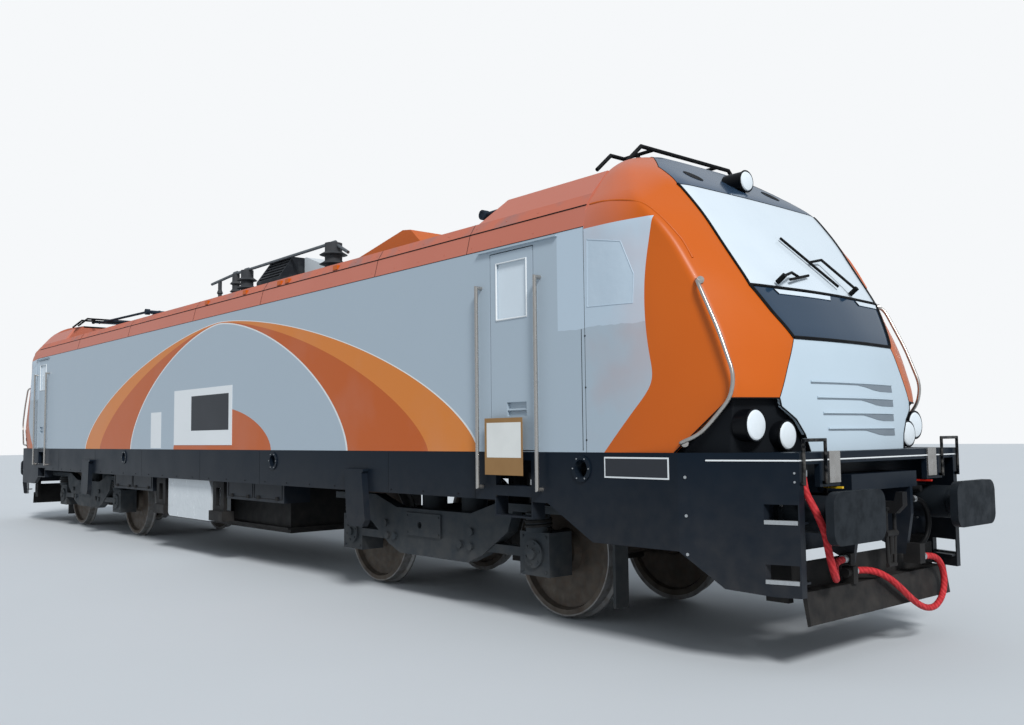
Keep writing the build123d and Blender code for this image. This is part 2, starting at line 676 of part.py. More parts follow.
# Handrails beside the doors, then hand grips and upright plates at the front
rail_y = half_width + 60
rail_low = 1160
rail_top = 2930
rail_radius = 17
grip_x = deck_front + 25
grip_top = 1553
grip_low = 1260
grip_outer = 1130
rails = []
for x_rear, side in door_places:
    for x in (x_rear - 130, x_rear + door_width + 90):
        outer, wall_y = side * rail_y, side * half_width
        points = [(x, wall_y, rail_top), (x, outer, rail_top), (x, outer, rail_low), (x, wall_y, rail_low)]
        rails.append(bar(points, rail_radius))
for side in (-1, 1):
    y_in, y_out = side * grip_y, side * grip_outer
    points = [(deck_front, y_out, grip_low), (grip_x, y_out, grip_low), (grip_x, y_out, grip_top)]
    points += [(grip_x, y_in, grip_top), (grip_x, y_in, grip_low), (deck_front, y_in, grip_low)]
    rails.append(bar(points, 12))
    y_low, y_high = sorted((side * 650, side * 790))
    rails.append(block(deck_front, deck_front + 12, y_low, y_high, 1255, 1475))
save("handrails", *both_ends(*rails))

# Roof gear. Posts: x, y, height of the top, shed radius, sheds, by rows of one kind
post_core = 0.62


def insulator(x, y, low, high, radius, sheds):
    """Ribbed post: a core with evenly spaced sheds."""
    core = radius * post_core
    pitch = (high - low) / (sheds + 1)
    profile = [(0, low), (core, low)]
    for number in range(sheds):
        level = low + pitch * (number + 0.6)
        profile += [(core, level), (radius, level + pitch * 0.15), (core, level + pitch * 0.5)]
    profile += [(core, high), (0, high)]
    face = Plane(origin=(x, y, 0), x_dir=(1, 0, 0), z_dir=(0, -1, 0)) * make_face(Polyline(*profile, close=True))
    return revolve(face, Axis((x, y, 0), (0, 0, 1)))


gear_y = half_width - 530
bus_top = deck_top + 470
bus_points = [(-580, bus_top - 60), (240, bus_top - 10), (2960, bus_top), (3300, bus_top - 170)]
busbar = bar([(x, -gear_y, z) for x, z in bus_points], 20)
# Posts under the busbar: x, height of the top, radius of the sheds, sheds
posts = [(-300, bus_top - 55, 45, 2), (240, bus_top - 20, 85, 3), (600, bus_top - 15, 140, 3), (2960, bus_top - 10, 170, 3)]
insulators = [insulator(x, -gear_y, deck_top, top, radius, sheds) - busbar for x, top, radius, sheds in posts]
insulators = both_ends(*insulators)
save("roof_busbars", *both_ends(busbar))

resistor_low = 1200
resistor_high = 1850
resistor_foot = half_width - 380
resistor_head = half_width - 580
resistor_top = deck_top + 470
resistor_sill = deck_top + 190
resistor_outline = [
    (-resistor_foot, deck_top), (-resistor_foot, resistor_sill), (-resistor_head, resistor_top),
    (resistor_head, resistor_top), (resistor_foot, resistor_sill), (resistor_foot, deck_top),
]
resistor = prism_x(resistor_outline, resistor_low, resistor_high)
grille_bars = 6
grille_pitch = (resistor_top - resistor_sill) / grille_bars
for number in range(grille_bars):
    z_low = resistor_sill + grille_pitch * (number + 0.2)
    for side in (-1, 1):
        y = resistor_foot - (resistor_foot - resistor_head) * (number + 0.5) / grille_bars
        y_low, y_high = sorted((side * (y - 30), side * (y + 60)))
        resistor -= block(resistor_low + 30, resistor_high - 30, y_low, y_high, z_low, z_low + grille_pitch * 0.6)
cover_side = [(resistor_high + 10, deck_top), (resistor_high + 1090, deck_top), (resistor_high + 1080, deck_top + 150)]
cover_side += [(resistor_high + 430, deck_top + 340), (resistor_high + 60, resistor_top), (resistor_high + 10, resistor_top)]
roof_cover = prism_y(cover_side, 210 - gear_y, gear_y - 210)
save("brake_resistor", resistor, roof_cover)

# Pantographs
panto_x = cab_joint - 760
panto_z = deck_top + 250
knee = (panto_x - 1950, deck_top + 520)
head = (knee[0] + 2450, deck_top + 540)
base_z = deck_top + 150
base_y = 410
base_back = panto_x - 1500
base_front = panto_x + 200
beam = 80
pivot_radius = 40
bearing = 60
knee_tube = 35
knee_pin = 30
knee_in = 190
knee_out = 270
head_pin = 14
eye_y = 450
strip_apart = 180
strip_z = head[1] + 50
strip_flat = 620
horn_tip_y = 800
horn_tip_z = head[1] - 110
base = Part()
for side in (-1, 1):
    y_low, y_high = side * base_y - beam / 2, side * base_y + beam / 2
    base += block(base_back, base_front, y_low, y_high, base_z, base_z + 60)
    base += block(panto_x - bearing, panto_x + bearing, side * base_y - 30, side * base_y + 30, base_z + 40, panto_z + bearing)
for x in (base_back, base_front - 100):
    base += block(x, x + 100, -base_y - beam / 2, base_y + beam / 2, base_z, base_z + 60)
base -= rod((panto_x, -500, panto_z), (panto_x, 500, panto_z), pivot_radius + seat_gap)
save("pantograph_bases", *both_ends(base))
for x in (base_back + 60, base_front - 60):
    for side in (-1, 1):
        insulators += both_ends(insulator(x, side * base_y, deck_top, base_z, 75, 1))
save("roof_insulators", *insulators)

lower_arm = rod((panto_x, -450, panto_z), (panto_x, 450, panto_z), pivot_radius)
lower_arm += rod((panto_x, 0, panto_z), (knee[0], 0, knee[1]), 45)
lower_arm += rod((knee[0], -160, knee[1]), (knee[0], 160, knee[1]), knee_tube)
upper_arm = Part()
for side in (-1, 1):
    upper_arm += rod((knee[0], side * (knee_in + knee_out) / 2, knee[1]), (head[0], side * 330, head[1]), 22)
    upper_arm += rod((knee[0], side * knee_in, knee[1]), (knee[0], side * knee_out, knee[1]), 55)
upper_arm += rod((head[0], -eye_y - 30, head[1]), (head[0], eye_y + 30, head[1]), head_pin)
upper_arm += rod((head[0] - 500, -311, head[1] - 4), (head[0] - 500, 311, head[1] - 4), 18)
for side in (-1, 1):
    upper_arm -= rod((knee[0], side * 150, knee[1]), (knee[0], side * 280, knee[1]), knee_pin + seat_gap)
    lower_arm += rod((knee[0], side * 150, knee[1]), (knee[0], side * 265, knee[1]), knee_pin)
collector = Part()
for side in (-1, 1):
    x = head[0] + side * strip_apart
    points = [(x, -horn_tip_y, horn_tip_z), (x, -strip_flat, strip_z), (x, strip_flat, strip_z), (x, horn_tip_y, horn_tip_z)]
    collector += bar(points, 18)
for side in (-1, 1):
    y = side * eye_y
    collector += rod((head[0] - strip_apart, y, strip_z), (head[0] + strip_apart, y, strip_z), 16)
    collector += rod((head[0], y, strip_z), (head[0], y, head[1]), 14)
    collector += rod((head[0], side * (eye_y - 20), head[1]), (head[0], side * (eye_y + 20), head[1]), head_pin * 2)
    collector -= rod((head[0], side * (eye_y - 30), head[1]), (head[0], side * (eye_y + 40), head[1]), head_pin + seat_gap)
for name, piece in (("lower_arm", lower_arm), ("upper_arm", upper_arm), ("head", collector)):
    save(f"pantograph_{name}_front", piece)
    save(f"pantograph_{name}_rear", turned(piece))

# Orange wedge covers
wedge_low = 3500
wedge_high = base_back - 500
wedge_long = wedge_high - wedge_low
wedge_side = [(0, 0), (1, 0), (0.73, 350), (0.63, 370), (0, 190)]
wedge = prism_y([(wedge_low + share * wedge_long, deck_top + above) for share, above in wedge_side], -gear_y, -200)
save("roof_wedge_covers", *both_ends(wedge))

# Bogie, drawn about its own centre with its outer end ahead
frame_y = 1100
frame_thick = 120
arm_low = 930
transom_x = 520
transom_low = 620
transom_high = 870
frame_half = [
    (0, 880), (620, 880), (1020, 1000), (wheelbase / 2 + 350, 1000), (wheelbase / 2 + 350, arm_low), (1230, arm_low),
    (1150, 740), (780, 500), (560, 415), (0, 415),
]
frame_outline = frame_half + [(-x, z) for x, z in reversed(frame_half[1:-1])]
# Bolt bosses on each outer face, and the box plate with its hole
bosses = [(-820, 710), (-790, 580), (-650, 580), (630, 710), (460, 580), (620, 570)]
boss_radius = 36
boss_out = 25
plate_box = (-430, 160, 610, 840)
plate_hole = (-190, 720)
face_y = frame_y + frame_thick / 2
side_frame = prism_y(frame_outline, -face_y, frame_thick / 2 - frame_y)
side_frame += block(plate_box[0], plate_box[1], -face_y - 18, 1 - face_y, plate_box[2], plate_box[3])
side_frame -= rod((plate_hole[0], -face_y - 20, plate_hole[1]), (plate_hole[0], 40 - face_y, plate_hole[1]), 34)
for x, z in bosses:
    side_frame += rod((x, -face_y - boss_out, z), (x, 1 - face_y, z), boss_radius)
bogie = side_frame + turned(side_frame)
bogie += block(-transom_x, transom_x, -frame_y, frame_y, transom_low, transom_high)
bogie -= rod((0, 0, transom_low - 1), (0, 0, transom_high + 1), pivot_pin + seat_gap)
# Guard irons ahead of the outer wheels
guard_x = wheelbase / 2 + flange_radius + 55
guard_low = 150
for side in (-1, 1):
    y_low, y_high = sorted((side * (frame_y - 60), side * face_y))
    bogie += block(wheelbase / 2 + 349, guard_x + 40, y_low, y_high, arm_low, 1000)
    y_low, y_high = sorted((side * 700, side * face_y))
    bogie += block(guard_x - 40, guard_x + 40, y_low, y_high, arm_low, 1000)
    y_low, y_high = sorted((side * 700, side * 860))
    bogie += block(guard_x, guard_x + 30, y_low, y_high, guard_low, arm_low + 1)

box_half = 190
spring_radius = 110
journal_radius = 75
journal_end = 1060
bearing_in = 880
bearing_out = 1150
cover_radius = 120
suspension = []
for x in (-wheelbase / 2, wheelbase / 2):
    for side in (-1, 1):
        y_low, y_high = sorted((side * bearing_in, side * bearing_out))
        box = block(x - box_half, x + box_half, y_low, y_high, axle_height - box_half, axle_height + box_half)
        top = axle_height + box_half
        box += rod((x, side * frame_y, top - 1), (x, side * frame_y, arm_low - seat_gap), spring_radius)
        box += rod((x, side * (bearing_out - 1), axle_height), (x, side * (bearing_out + 25), axle_height), cover_radius)
        box += rod((x, side * bearing_out, axle_height), (x, side * (bearing_out + 50), axle_height), 45)
        toward = -1 if x > 0 else 1
        link = block(x + toward * box_half, toward * -780, side * (frame_y - 50), side * (frame_y + 50), axle_height - 35, axle_height + 45)
        box += link - bogie
        box -= rod((x, side * (bearing_in - 5), axle_height), (x, side * (journal_end + 10), axle_height), journal_radius + seat_gap)
        suspension.append(box)
spring_x = 330
spring_y = 880
for side in (-1, 1):
    for x in (-spring_x, spring_x):
        suspension.append(rod((x, side * spring_y, transom_high), (x, side * spring_y, bolster_low - seat_gap), 130))
motors = []
for side in (-1, 1):
    x_low, x_high = sorted((side * transom_x, side * (wheelbase / 2 - 250)))
    motors.append(block(x_low, x_high, -560, 560, axle_height - 195, axle_height + 255))

axle_radius = 95
# Half section of a wheel, as (radius, y)
wheel_profile = [
    (axle_radius, 640), (150, 640), (175, 700), (490, 715), (510, 680), (flange_radius, 680), (flange_radius, 700),
    (wheel_diameter / 2, 715), (wheel_diameter / 2, 815), (520, 815), (500, 765), (200, 765), (170, 830), (axle_radius, 850),
]
side_plane = Plane(origin=(0, 0, 0), x_dir=(1, 0, 0), z_dir=(0, 0, 1))
wheel = revolve(side_plane * make_face(Polyline(*wheel_profile, close=True)), Axis.Y)
axle = rod((0, -850, 0), (0, 850, 0), axle_radius) + rod((0, -journal_end, 0), (0, journal_end, 0), journal_radius)
wheelset = [Pos(0, 0, axle_height) * piece for piece in (axle, wheel, mirror_y(wheel))]

place = Pos(pivot_x, 0, 0)
for name, pieces in (("bogie_frame", [bogie]), ("suspension", suspension), ("traction_motors", motors)):
    pieces = [place * piece for piece in pieces]
    save(f"{name}_front", *pieces)
    save(f"{name}_rear", *[turned(piece) for piece in pieces])
axle_places = (pivot_x + wheelbase / 2, pivot_x - wheelbase / 2, wheelbase / 2 - pivot_x, -pivot_x - wheelbase / 2)
for number, x in enumerate(axle_places):
    save(f"wheelset_{number + 1}", *[Pos(x, 0, 0) * piece for piece in wheelset])
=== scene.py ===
import math

import bmesh
import bpy
from mathutils import Matrix, Vector
from mathutils.bvhtree import BVHTree


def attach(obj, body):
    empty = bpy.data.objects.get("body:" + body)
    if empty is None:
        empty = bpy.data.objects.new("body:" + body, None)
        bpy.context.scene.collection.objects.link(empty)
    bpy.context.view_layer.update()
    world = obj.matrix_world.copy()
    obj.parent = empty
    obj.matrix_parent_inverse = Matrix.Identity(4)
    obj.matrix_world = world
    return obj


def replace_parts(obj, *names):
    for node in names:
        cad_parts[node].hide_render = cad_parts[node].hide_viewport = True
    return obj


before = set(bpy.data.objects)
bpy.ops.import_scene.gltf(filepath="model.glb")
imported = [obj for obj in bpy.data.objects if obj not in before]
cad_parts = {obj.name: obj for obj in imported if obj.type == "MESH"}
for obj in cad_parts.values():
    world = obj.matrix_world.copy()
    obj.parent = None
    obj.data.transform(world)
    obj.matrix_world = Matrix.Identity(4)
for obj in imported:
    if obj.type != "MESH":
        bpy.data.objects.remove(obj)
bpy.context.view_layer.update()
print("frame loaded")

# Everything is in metres in the frame of the CAD model: +X forward, +Y left, +Z up.
# The wheel flanges stand at zero and the rail top lies above them.
railTop = 0.03
halfWidth = 1.43
cabJoint = 7.76
wallTop = 3.271 + railTop
cantTop = 3.455 + railTop
kerbTop = 3.56 + railTop
floorTop = 1.469 + railTop
mm = 0.001
skinLift = 1.5 * mm


def linear(hexText):
    channels = [int(hexText[i:i + 2], 16) / 255 for i in (1, 3, 5)]
    return (*[c / 12.92 if c <= 0.04045 else ((c + 0.055) / 1.055) ** 2.4 for c in channels], 1.0)


# Node with its inputs: a value is set on the socket, a node or socket is linked to it
def addNode(tree, kind, inputs=(), **settings):
    node = tree.nodes.new("ShaderNode" + kind)
    for key, value in settings.items():
        setattr(node, key, value)
    for key, value in (inputs.items() if isinstance(inputs, dict) else enumerate(inputs)):
        if isinstance(value, bpy.types.Node):
            value = value.outputs[0]
        if isinstance(value, bpy.types.NodeSocket):
            tree.links.new(value, node.inputs[key])
        else:
            node.inputs[key].default_value = value
    return node


def calc(tree, operation, *inputs):
    return addNode(tree, "Math", inputs, operation=operation)


def startMaterial(name):
    material = bpy.data.materials.new(name)
    material.use_nodes = True
    tree = material.node_tree
    place = addNode(tree, "TexCoord").outputs["Object"]
    return material, tree, place


def mixColours(tree, share, first, second):
    mixed = addNode(tree, "Mix", {0: share, 6: first, 7: second}, data_type="RGBA")
    return mixed.outputs[2]


# Dirt from the rails: colour, heights where it starts and where it is full, scale of its speckles
dirt = {"colour": "#8C8378", "starts": 1.5, "full": 0.1, "speckles": 9.0}
coatRough = 0.06
# Levels of the noise between which a stain grows, and the roughness changes
stainLevels = (0.45, 0.75)
roughLevels = (0.3, 0.7)


# Finish common to all painted, rubber and metal surfaces. Look:
# colour, stain and stainShare for patches of patch mm, rough and its spread, metal, coat,
# grain mm for the fine bump and its depth mm, dust for dirt that thickens towards the rails
def dressShader(tree, place, colour, look):
    patches = addNode(tree, "TexNoise", {"Vector": place, "Scale": 1 / (look["patch"] * mm), "Detail": 4.0})
    share = addNode(tree, "MapRange", {0: patches, 1: stainLevels[0], 2: stainLevels[1],
                                       3: 0.0, 4: look["stainShare"]})
    colour = mixColours(tree, share, colour, linear(look["stain"]))
    if look.get("dust"):
        height = addNode(tree, "SeparateXYZ", [place]).outputs["Z"]
        low = addNode(tree, "MapRange", {0: height, 1: dirt["starts"], 2: dirt["full"], 3: 0.0,
                                         4: look["dust"]})
        speckle = addNode(tree, "TexNoise", {"Vector": place, "Scale": dirt["speckles"], "Detail": 6.0})
        dusty = calc(tree, "MULTIPLY", low, speckle)
        colour = mixColours(tree, dusty, colour, linear(dirt["colour"]))
    rough = addNode(tree, "MapRange", {0: patches, 1: roughLevels[0], 2: roughLevels[1],
                                       3: look["rough"], 4: look["rough"] + look["spread"]})
    grain = addNode(tree, "TexNoise", {"Vector": place, "Scale": 1 / (look["grain"] * mm), "Detail": 3.0})
    bump = addNode(tree, "Bump", {"Height": grain, "Distance": look["depth"] * mm, "Strength": 1.0})
    shader = tree.nodes["Principled BSDF"]
    tree.links.new(colour, shader.inputs["Base Color"])
    tree.links.new(rough.outputs[0], shader.inputs["Roughness"])
    tree.links.new(bump.outputs[0], shader.inputs["Normal"])
    shader.inputs["Metallic"].default_value = look.get("metal", 0.0)
    shader.inputs["Specular IOR Level"].default_value = look.get("shine", 0.3)
    shader.inputs["Coat Weight"].default_value = look.get("coat", 0.0)
    shader.inputs["Coat Roughness"].default_value = coatRough


def plainMaterial(name, look):
    material, tree, place = startMaterial(name)
    dressShader(tree, place, linear(look["colour"]), look)
    return material


# Looks: colours are sRGB, patch and grain in mm, depth of the fine bump in mm
glossPaint = {"stainShare": 0.25, "patch": 900, "rough": 0.3, "spread": 0.1, "coat": 0.12,
              "grain": 60, "depth": 0.05}
satinPaint = {"stainShare": 0.5, "patch": 260, "rough": 0.5, "spread": 0.25, "shine": 0.15,
              "grain": 9, "depth": 0.2}
bareMetal = {"stainShare": 0.5, "patch": 60, "rough": 0.3, "spread": 0.2, "metal": 0.85,
             "grain": 6, "depth": 0.1}
looks = {
    "silver side paint": dict(glossPaint, colour="#A3B1BC", stain="#ADBAC4"),
    "orange cab paint": dict(glossPaint, colour="#BE580A", stain="#C46114"),
    # Roof edge: the pale salmon tone is partly painted sheen; the paint itself is a deeper orange-red
    "roof edge paint": dict(glossPaint, colour="#BA6C58", stain="#C47C6C", rough=0.35),
    "silver nose paint": dict(glossPaint, colour="#B4C4CF", stain="#BECCD6"),
    "front mask lacquer": dict(glossPaint, colour="#22364A", stain="#2C4054", rough=0.12, spread=0.03,
                               coat=0.5),
    "roof cap lacquer": dict(glossPaint, colour="#33475E", stain="#42566C", rough=0.15, coat=0.3),
    "underframe enamel": dict(glossPaint, colour="#0C1722", stain="#131F2B", patch=500, dust=0.2,
                              coat=0.0, shine=0.12),
    "bogie paint": dict(satinPaint, colour="#1C2831", stain="#27333C", dust=0.35, shine=0.2),
    "black chassis paint": dict(satinPaint, colour="#090D12", stain="#10151A", dust=0.2),
    "black lamp housing": dict(satinPaint, colour="#080A0E", stain="#0D1015", rough=0.3),
    "roof deck paint": dict(satinPaint, colour="#7F878C", stain="#6E767B"),
    "worn buffer steel": dict(satinPaint, colour="#1E2328", stain="#101316", metal=0.2, patch=90, rough=0.4),
    "polished rail steel": dict(bareMetal, colour="#B5B1AC", stain="#9A958F", rough=0.2),
    "cast pantograph alloy": dict(satinPaint, colour="#212B37", stain="#343F4B", metal=0.2, patch=120),
    "carbon strip": dict(satinPaint, colour="#101113", stain="#1C1D1F", patch=40),
    "ceramic insulator": dict(satinPaint, colour="#3B3D40", stain="#4E4D4C", patch=200, rough=0.4),
    "tinned copper bar": dict(bareMetal, colour="#6E7377", stain="#585D61", metal=0.7),
    "machine steel": dict(satinPaint, colour="#5E6468", stain="#6C7276"),
    "cab lining": dict(satinPaint, colour="#4C4F53", stain="#5A5D60"),
    "seat cloth": dict(satinPaint, colour="#20283A", stain="#2B3448", grain=2.5, depth=0.6, rough=0.85),
    "black rubber": dict(satinPaint, colour="#08090B", stain="#0E1012", rough=0.5, patch=120),
    "white enamel": dict(glossPaint, colour="#DDE1E3", stain="#CDD2D5", rough=0.3),
    "dark board print": dict(glossPaint, colour="#24272D", stain="#2E3137", rough=0.4),
    "yellow cock paint": dict(glossPaint, colour="#D9B11E", stain="#C49C12", patch=60),
    "red cock paint": dict(glossPaint, colour="#B3261C", stain="#A01D15", patch=60),
    "plain cardboard": dict(satinPaint, colour="#93724C", stain="#846440", rough=0.85, spread=0.05),
    "white paper": dict(satinPaint, colour="#DADCD9", stain="#CDCFCC", rough=0.8, spread=0.05),
    "bright bolt steel": dict(bareMetal, colour="#B9BCBE", stain="#9A9DA0", patch=20),
    "burnt spring steel": dict(satinPaint, colour="#14171A", stain="#22262A", metal=0.4, patch=50, dust=0.3),
    "wrapping film": dict(glossPaint, colour="#C4CACE", stain="#DCE0E3", patch=160, rough=0.18,
                          grain=55, depth=5.0),
    # Windscreen, door glass and wiper pockets: an even pale blue-white, opaque, in place of clear glass
    "pale opaque glass": dict(glossPaint, colour="#CDD8E0", stain="#C0CCD6", patch=350, rough=0.1,
                            grain=140, depth=0.6),
    "film over side glass": dict(glossPaint, colour="#B3C3D0", stain="#C2D0DB", patch=180, rough=0.15,
                                 grain=70, depth=2.5),
    "ribbed lamp glass": dict(glossPaint, colour="#DDE5EA", stain="#CFD9E0", patch=40, rough=0.08,
                              grain=14, depth=0.6),
    # Grey of the louvre openings: painted shade under the fins, not a paint colour
    "louvre painted shade": dict(satinPaint, colour="#77818A", stain="#6A747D", rough=0.6),
}
materials = {name: plainMaterial(name, look) for name, look in looks.items()}

# Livery of the side: three nested arches of the form (x/reach)^bend + (z/height)^bend = 1
livery = {
    "foot": 1.47 + railTop,
    "centre": 0.88,
    "outer": {"reach": 5.52, "height": 1.70, "bend": 1.53},
    "middle": {"reach": 4.75, "height": 1.69, "bend": 1.45},
    "inner": {"reach": 3.27, "height": 1.677, "bend": 1.60},
    "small": {"reach": 1.52, "height": 0.56, "bend": 1.75},
    "light": "#D07A2C",
    "dark": "#B9560F",
    "edge": "#D9DCDC",
    "edgeWidths": {"outer": 0.004, "inner": 0.008},
}


# Distance along the body seen from its own side, so that both sides carry the same arches
def alongSide(tree, place):
    axes = addNode(tree, "SeparateXYZ", [place])
    side = calc(tree, "SIGN", axes.outputs["Y"])
    turned = calc(tree, "MULTIPLY", axes.outputs["X"], side)
    along = calc(tree, "MULTIPLY", turned, -1.0)
    return along, axes


def archField(tree, along, height, arch):
    across = calc(tree, "SUBTRACT", along, livery["centre"])
    across = calc(tree, "ABSOLUTE", across)
    across = calc(tree, "DIVIDE", across, arch["reach"])
    across = calc(tree, "POWER", across, arch["bend"])
    above = calc(tree, "SUBTRACT", height, livery["foot"])
    above = calc(tree, "MAXIMUM", above, 0.0)
    above = calc(tree, "DIVIDE", above, arch["height"])
    above = calc(tree, "POWER", above, arch["bend"])
    return calc(tree, "ADD", across, above)


def sidePaint():
    look = looks["silver side paint"]
    material, tree, place = startMaterial("silver side paint with orange arches")
    along, axes = alongSide(tree, place)
    height = axes.outputs["Z"]
    shades = {"outer": livery["light"], "middle": livery["dark"], "inner": look["colour"],
              "small": livery["dark"]}
    fields = {key: archField(tree, along, height, livery[key]) for key in shades}
    colour = linear(look["colour"])
    for key, shade in shades.items():
        inside = calc(tree, "LESS_THAN", fields[key], 1.0)
        colour = mixColours(tree, inside, colour, linear(shade))
    for key, width in livery["edgeWidths"].items():
        line = calc(tree, "COMPARE", fields[key], 1.0, width)
        colour = mixColours(tree, line, colour, linear(livery["edge"]))
    colour = addFilm(tree, place, axes, colour)
    dressShader(tree, place, colour, dict(look, stainShare=0.08))
    return material


# Mask that is 1 where the distance from the middle along one axis is over the limit
def beyond(tree, axes, axis, limit):
    return calc(tree, "GREATER_THAN", calc(tree, "ABSOLUTE", axes.outputs[axis]), limit)


# Film left on the upper flank: ahead of the door and above its torn edge
filmPatch = {"low": 2.448 + railTop, "behind": 7.45, "tear": 0.06, "tears": 6.0}


def addFilm(tree, place, axes, colour):
    ragged = addNode(tree, "TexNoise", {"Vector": place, "Scale": filmPatch["tears"], "Detail": 3.0})
    height = calc(tree, "MULTIPLY_ADD", ragged, filmPatch["tear"], axes.outputs["Z"])
    above = calc(tree, "GREATER_THAN", height, filmPatch["low"] + filmPatch["tear"] / 2)
    ahead = beyond(tree, axes, "X", filmPatch["behind"])
    inside = calc(tree, "MULTIPLY", above, ahead)
    return mixColours(tree, inside, colour, linear(looks["film over side glass"]["colour"]))


# Silver flank of the cab: below, its edge leans by the slant; above, it is a shallow hollow curve
cabEdge = {"foot": (7.966, 1.486 + railTop), "slant": 0.968, "waist": (8.362, 2.66 + railTop),
           "hollow": 0.20, "rounding": 0.22, "top": wallTop - 0.02, "fade": 0.55}


def cabPaint():
    look = looks["orange cab paint"]
    material, tree, place = startMaterial("orange cab paint with silver flanks")
    axes = addNode(tree, "SeparateXYZ", [place])
    along = calc(tree, "ABSOLUTE", axes.outputs["X"])
    foot = calc(tree, "SUBTRACT", axes.outputs["Z"], cabEdge["foot"][1])
    lower = calc(tree, "MULTIPLY_ADD", foot, cabEdge["slant"], cabEdge["foot"][0])
    waist = calc(tree, "SUBTRACT", axes.outputs["Z"], cabEdge["waist"][1])
    square = calc(tree, "MULTIPLY", waist, waist)
    upper = calc(tree, "MULTIPLY_ADD", square, cabEdge["hollow"], cabEdge["waist"][0])
    edge = calc(tree, "SMOOTH_MIN", lower, upper, cabEdge["rounding"])
    behind = calc(tree, "LESS_THAN", along, edge)
    below = calc(tree, "LESS_THAN", axes.outputs["Z"], cabEdge["top"])
    silver = calc(tree, "MULTIPLY", behind, below)
    filmed = addFilm(tree, place, axes, linear(looks["silver side paint"]["colour"]))
    colour = mixColours(tree, silver, linear(look["colour"]), filmed)
    # Near the joint the cab above the side wall blends into the roof edge colour, whose pale tone is partly
    # painted sheen
    fadeFrom = cabJoint + cabEdge["fade"]
    reddish = addNode(tree, "MapRange", {0: along, 1: fadeFrom, 2: cabJoint, 3: 0.0, 4: 1.0})
    above = calc(tree, "GREATER_THAN", axes.outputs["Z"], cabEdge["top"])
    roofEdgeBlend = calc(tree, "MULTIPLY", reddish, above)
    colour = mixColours(tree, roofEdgeBlend, colour, linear(looks["roof edge paint"]["colour"]))
    dressShader(tree, place, colour, look)
    return material


# Second colour of the surfaces that have two, and where the paint changes: half width of the flat
# deck, start of the black grips, start of the wrapped cover
secondColours = {"grips": "#0C0F13", "grille": "#12161C", "tread": "#8E9092", "band": "#C63A3E"}
paintEdges = {"deck": 1.255, "gripAhead": 9.47, "gripAside": 0.82, "wrapped": 1.852}


# Paint of two colours, where the mask picks the second one
def twoColours(name, look, second, makeMask):
    material, tree, place = startMaterial(name)
    mask = makeMask(tree, addNode(tree, "SeparateXYZ", [place]))
    colour = mixColours(tree, mask, linear(look["colour"]), linear(second))
    dressShader(tree, place, colour, look)
    return material


# Roof: the edge sloping down to the cant is painted like it, the flat deck is grey
def roofPaint():
    def edge(tree, axes):
        return beyond(tree, axes, "Y", paintEdges["deck"])

    return twoColours("roof deck paint with coloured edge", looks["roof deck paint"],
                      looks["roof edge paint"]["colour"], edge)


# Rails: the grips ahead of the platform are painted black, the rest is bare
def railPaint():
    def grips(tree, axes):
        ahead = beyond(tree, axes, "X", paintEdges["gripAhead"])
        return calc(tree, "MULTIPLY", ahead, beyond(tree, axes, "Y", paintEdges["gripAside"]))

    return twoColours("handrail steel with black grips", looks["polished rail steel"],
                      secondColours["grips"], grips)


# Brake resistor: black grille, and white film over the cover ahead of it
def resistorPaint():
    def grille(tree, axes):
        return calc(tree, "LESS_THAN", axes.outputs["X"], paintEdges["wrapped"])

    look = dict(looks["wrapping film"], depth=1.0, stainShare=0.04, rough=0.55, coat=0.0)
    return twoColours("resistor grille and wrapped cover", look, secondColours["grille"], grille)


# Wheels: rusty web and polished tread, by the distance from the nearest of four axles
wheelPlaces = {"pivot": 5.32, "halfBase": 1.5, "height": 0.575 + railTop, "tread": 0.562}


def wheelSteel():
    look = dict(satinPaint, colour="#3B3531", stain="#5A4436", metal=0.5, patch=70, dust=0.6)
    material, tree, place = startMaterial("rusty wheel steel with polished tread")
    axes = addNode(tree, "SeparateXYZ", [place])
    folded = calc(tree, "ABSOLUTE", axes.outputs["X"])
    for shift in (wheelPlaces["pivot"], wheelPlaces["halfBase"]):
        folded = calc(tree, "SUBTRACT", folded, shift)
        folded = calc(tree, "ABSOLUTE", folded)
    up = calc(tree, "SUBTRACT", axes.outputs["Z"], wheelPlaces["height"])
    spot = addNode(tree, "CombineXYZ", [folded, up, 0.0])
    radius = addNode(tree, "VectorMath", [spot], operation="LENGTH").outputs["Value"]
    tread = calc(tree, "GREATER_THAN", radius, wheelPlaces["tread"])
    colour = mixColours(tree, tread, linear(look["colour"]), linear(secondColours["tread"]))
    dressShader(tree, place, colour, look)
    return material


# Hose covered by a wound red band, whose turns show as two shades of red
bandWave = {"Scale": 14.0, "Distortion": 6.0, "Detail": 2.0}


def woundBand():
    look = dict(satinPaint, colour="#A3262A", stain="#7F1B20", patch=45, rough=0.5, grain=6, depth=0.5)
    material, tree, place = startMaterial("wound red fabric band")
    wave = addNode(tree, "TexWave", {"Vector": place, **bandWave}, bands_direction="DIAGONAL")
    colour = mixColours(tree, wave.outputs["Fac"], linear(look["colour"]), linear(secondColours["band"]))
    dressShader(tree, place, colour, look)
    return material


materials["side"] = sidePaint()
materials["cab"] = cabPaint()
materials["roof"] = roofPaint()
materials["wheel"] = wheelSteel()
materials["rails"] = railPaint()
materials["resistor"] = resistorPaint()
materials["band"] = woundBand()
print("materials made")

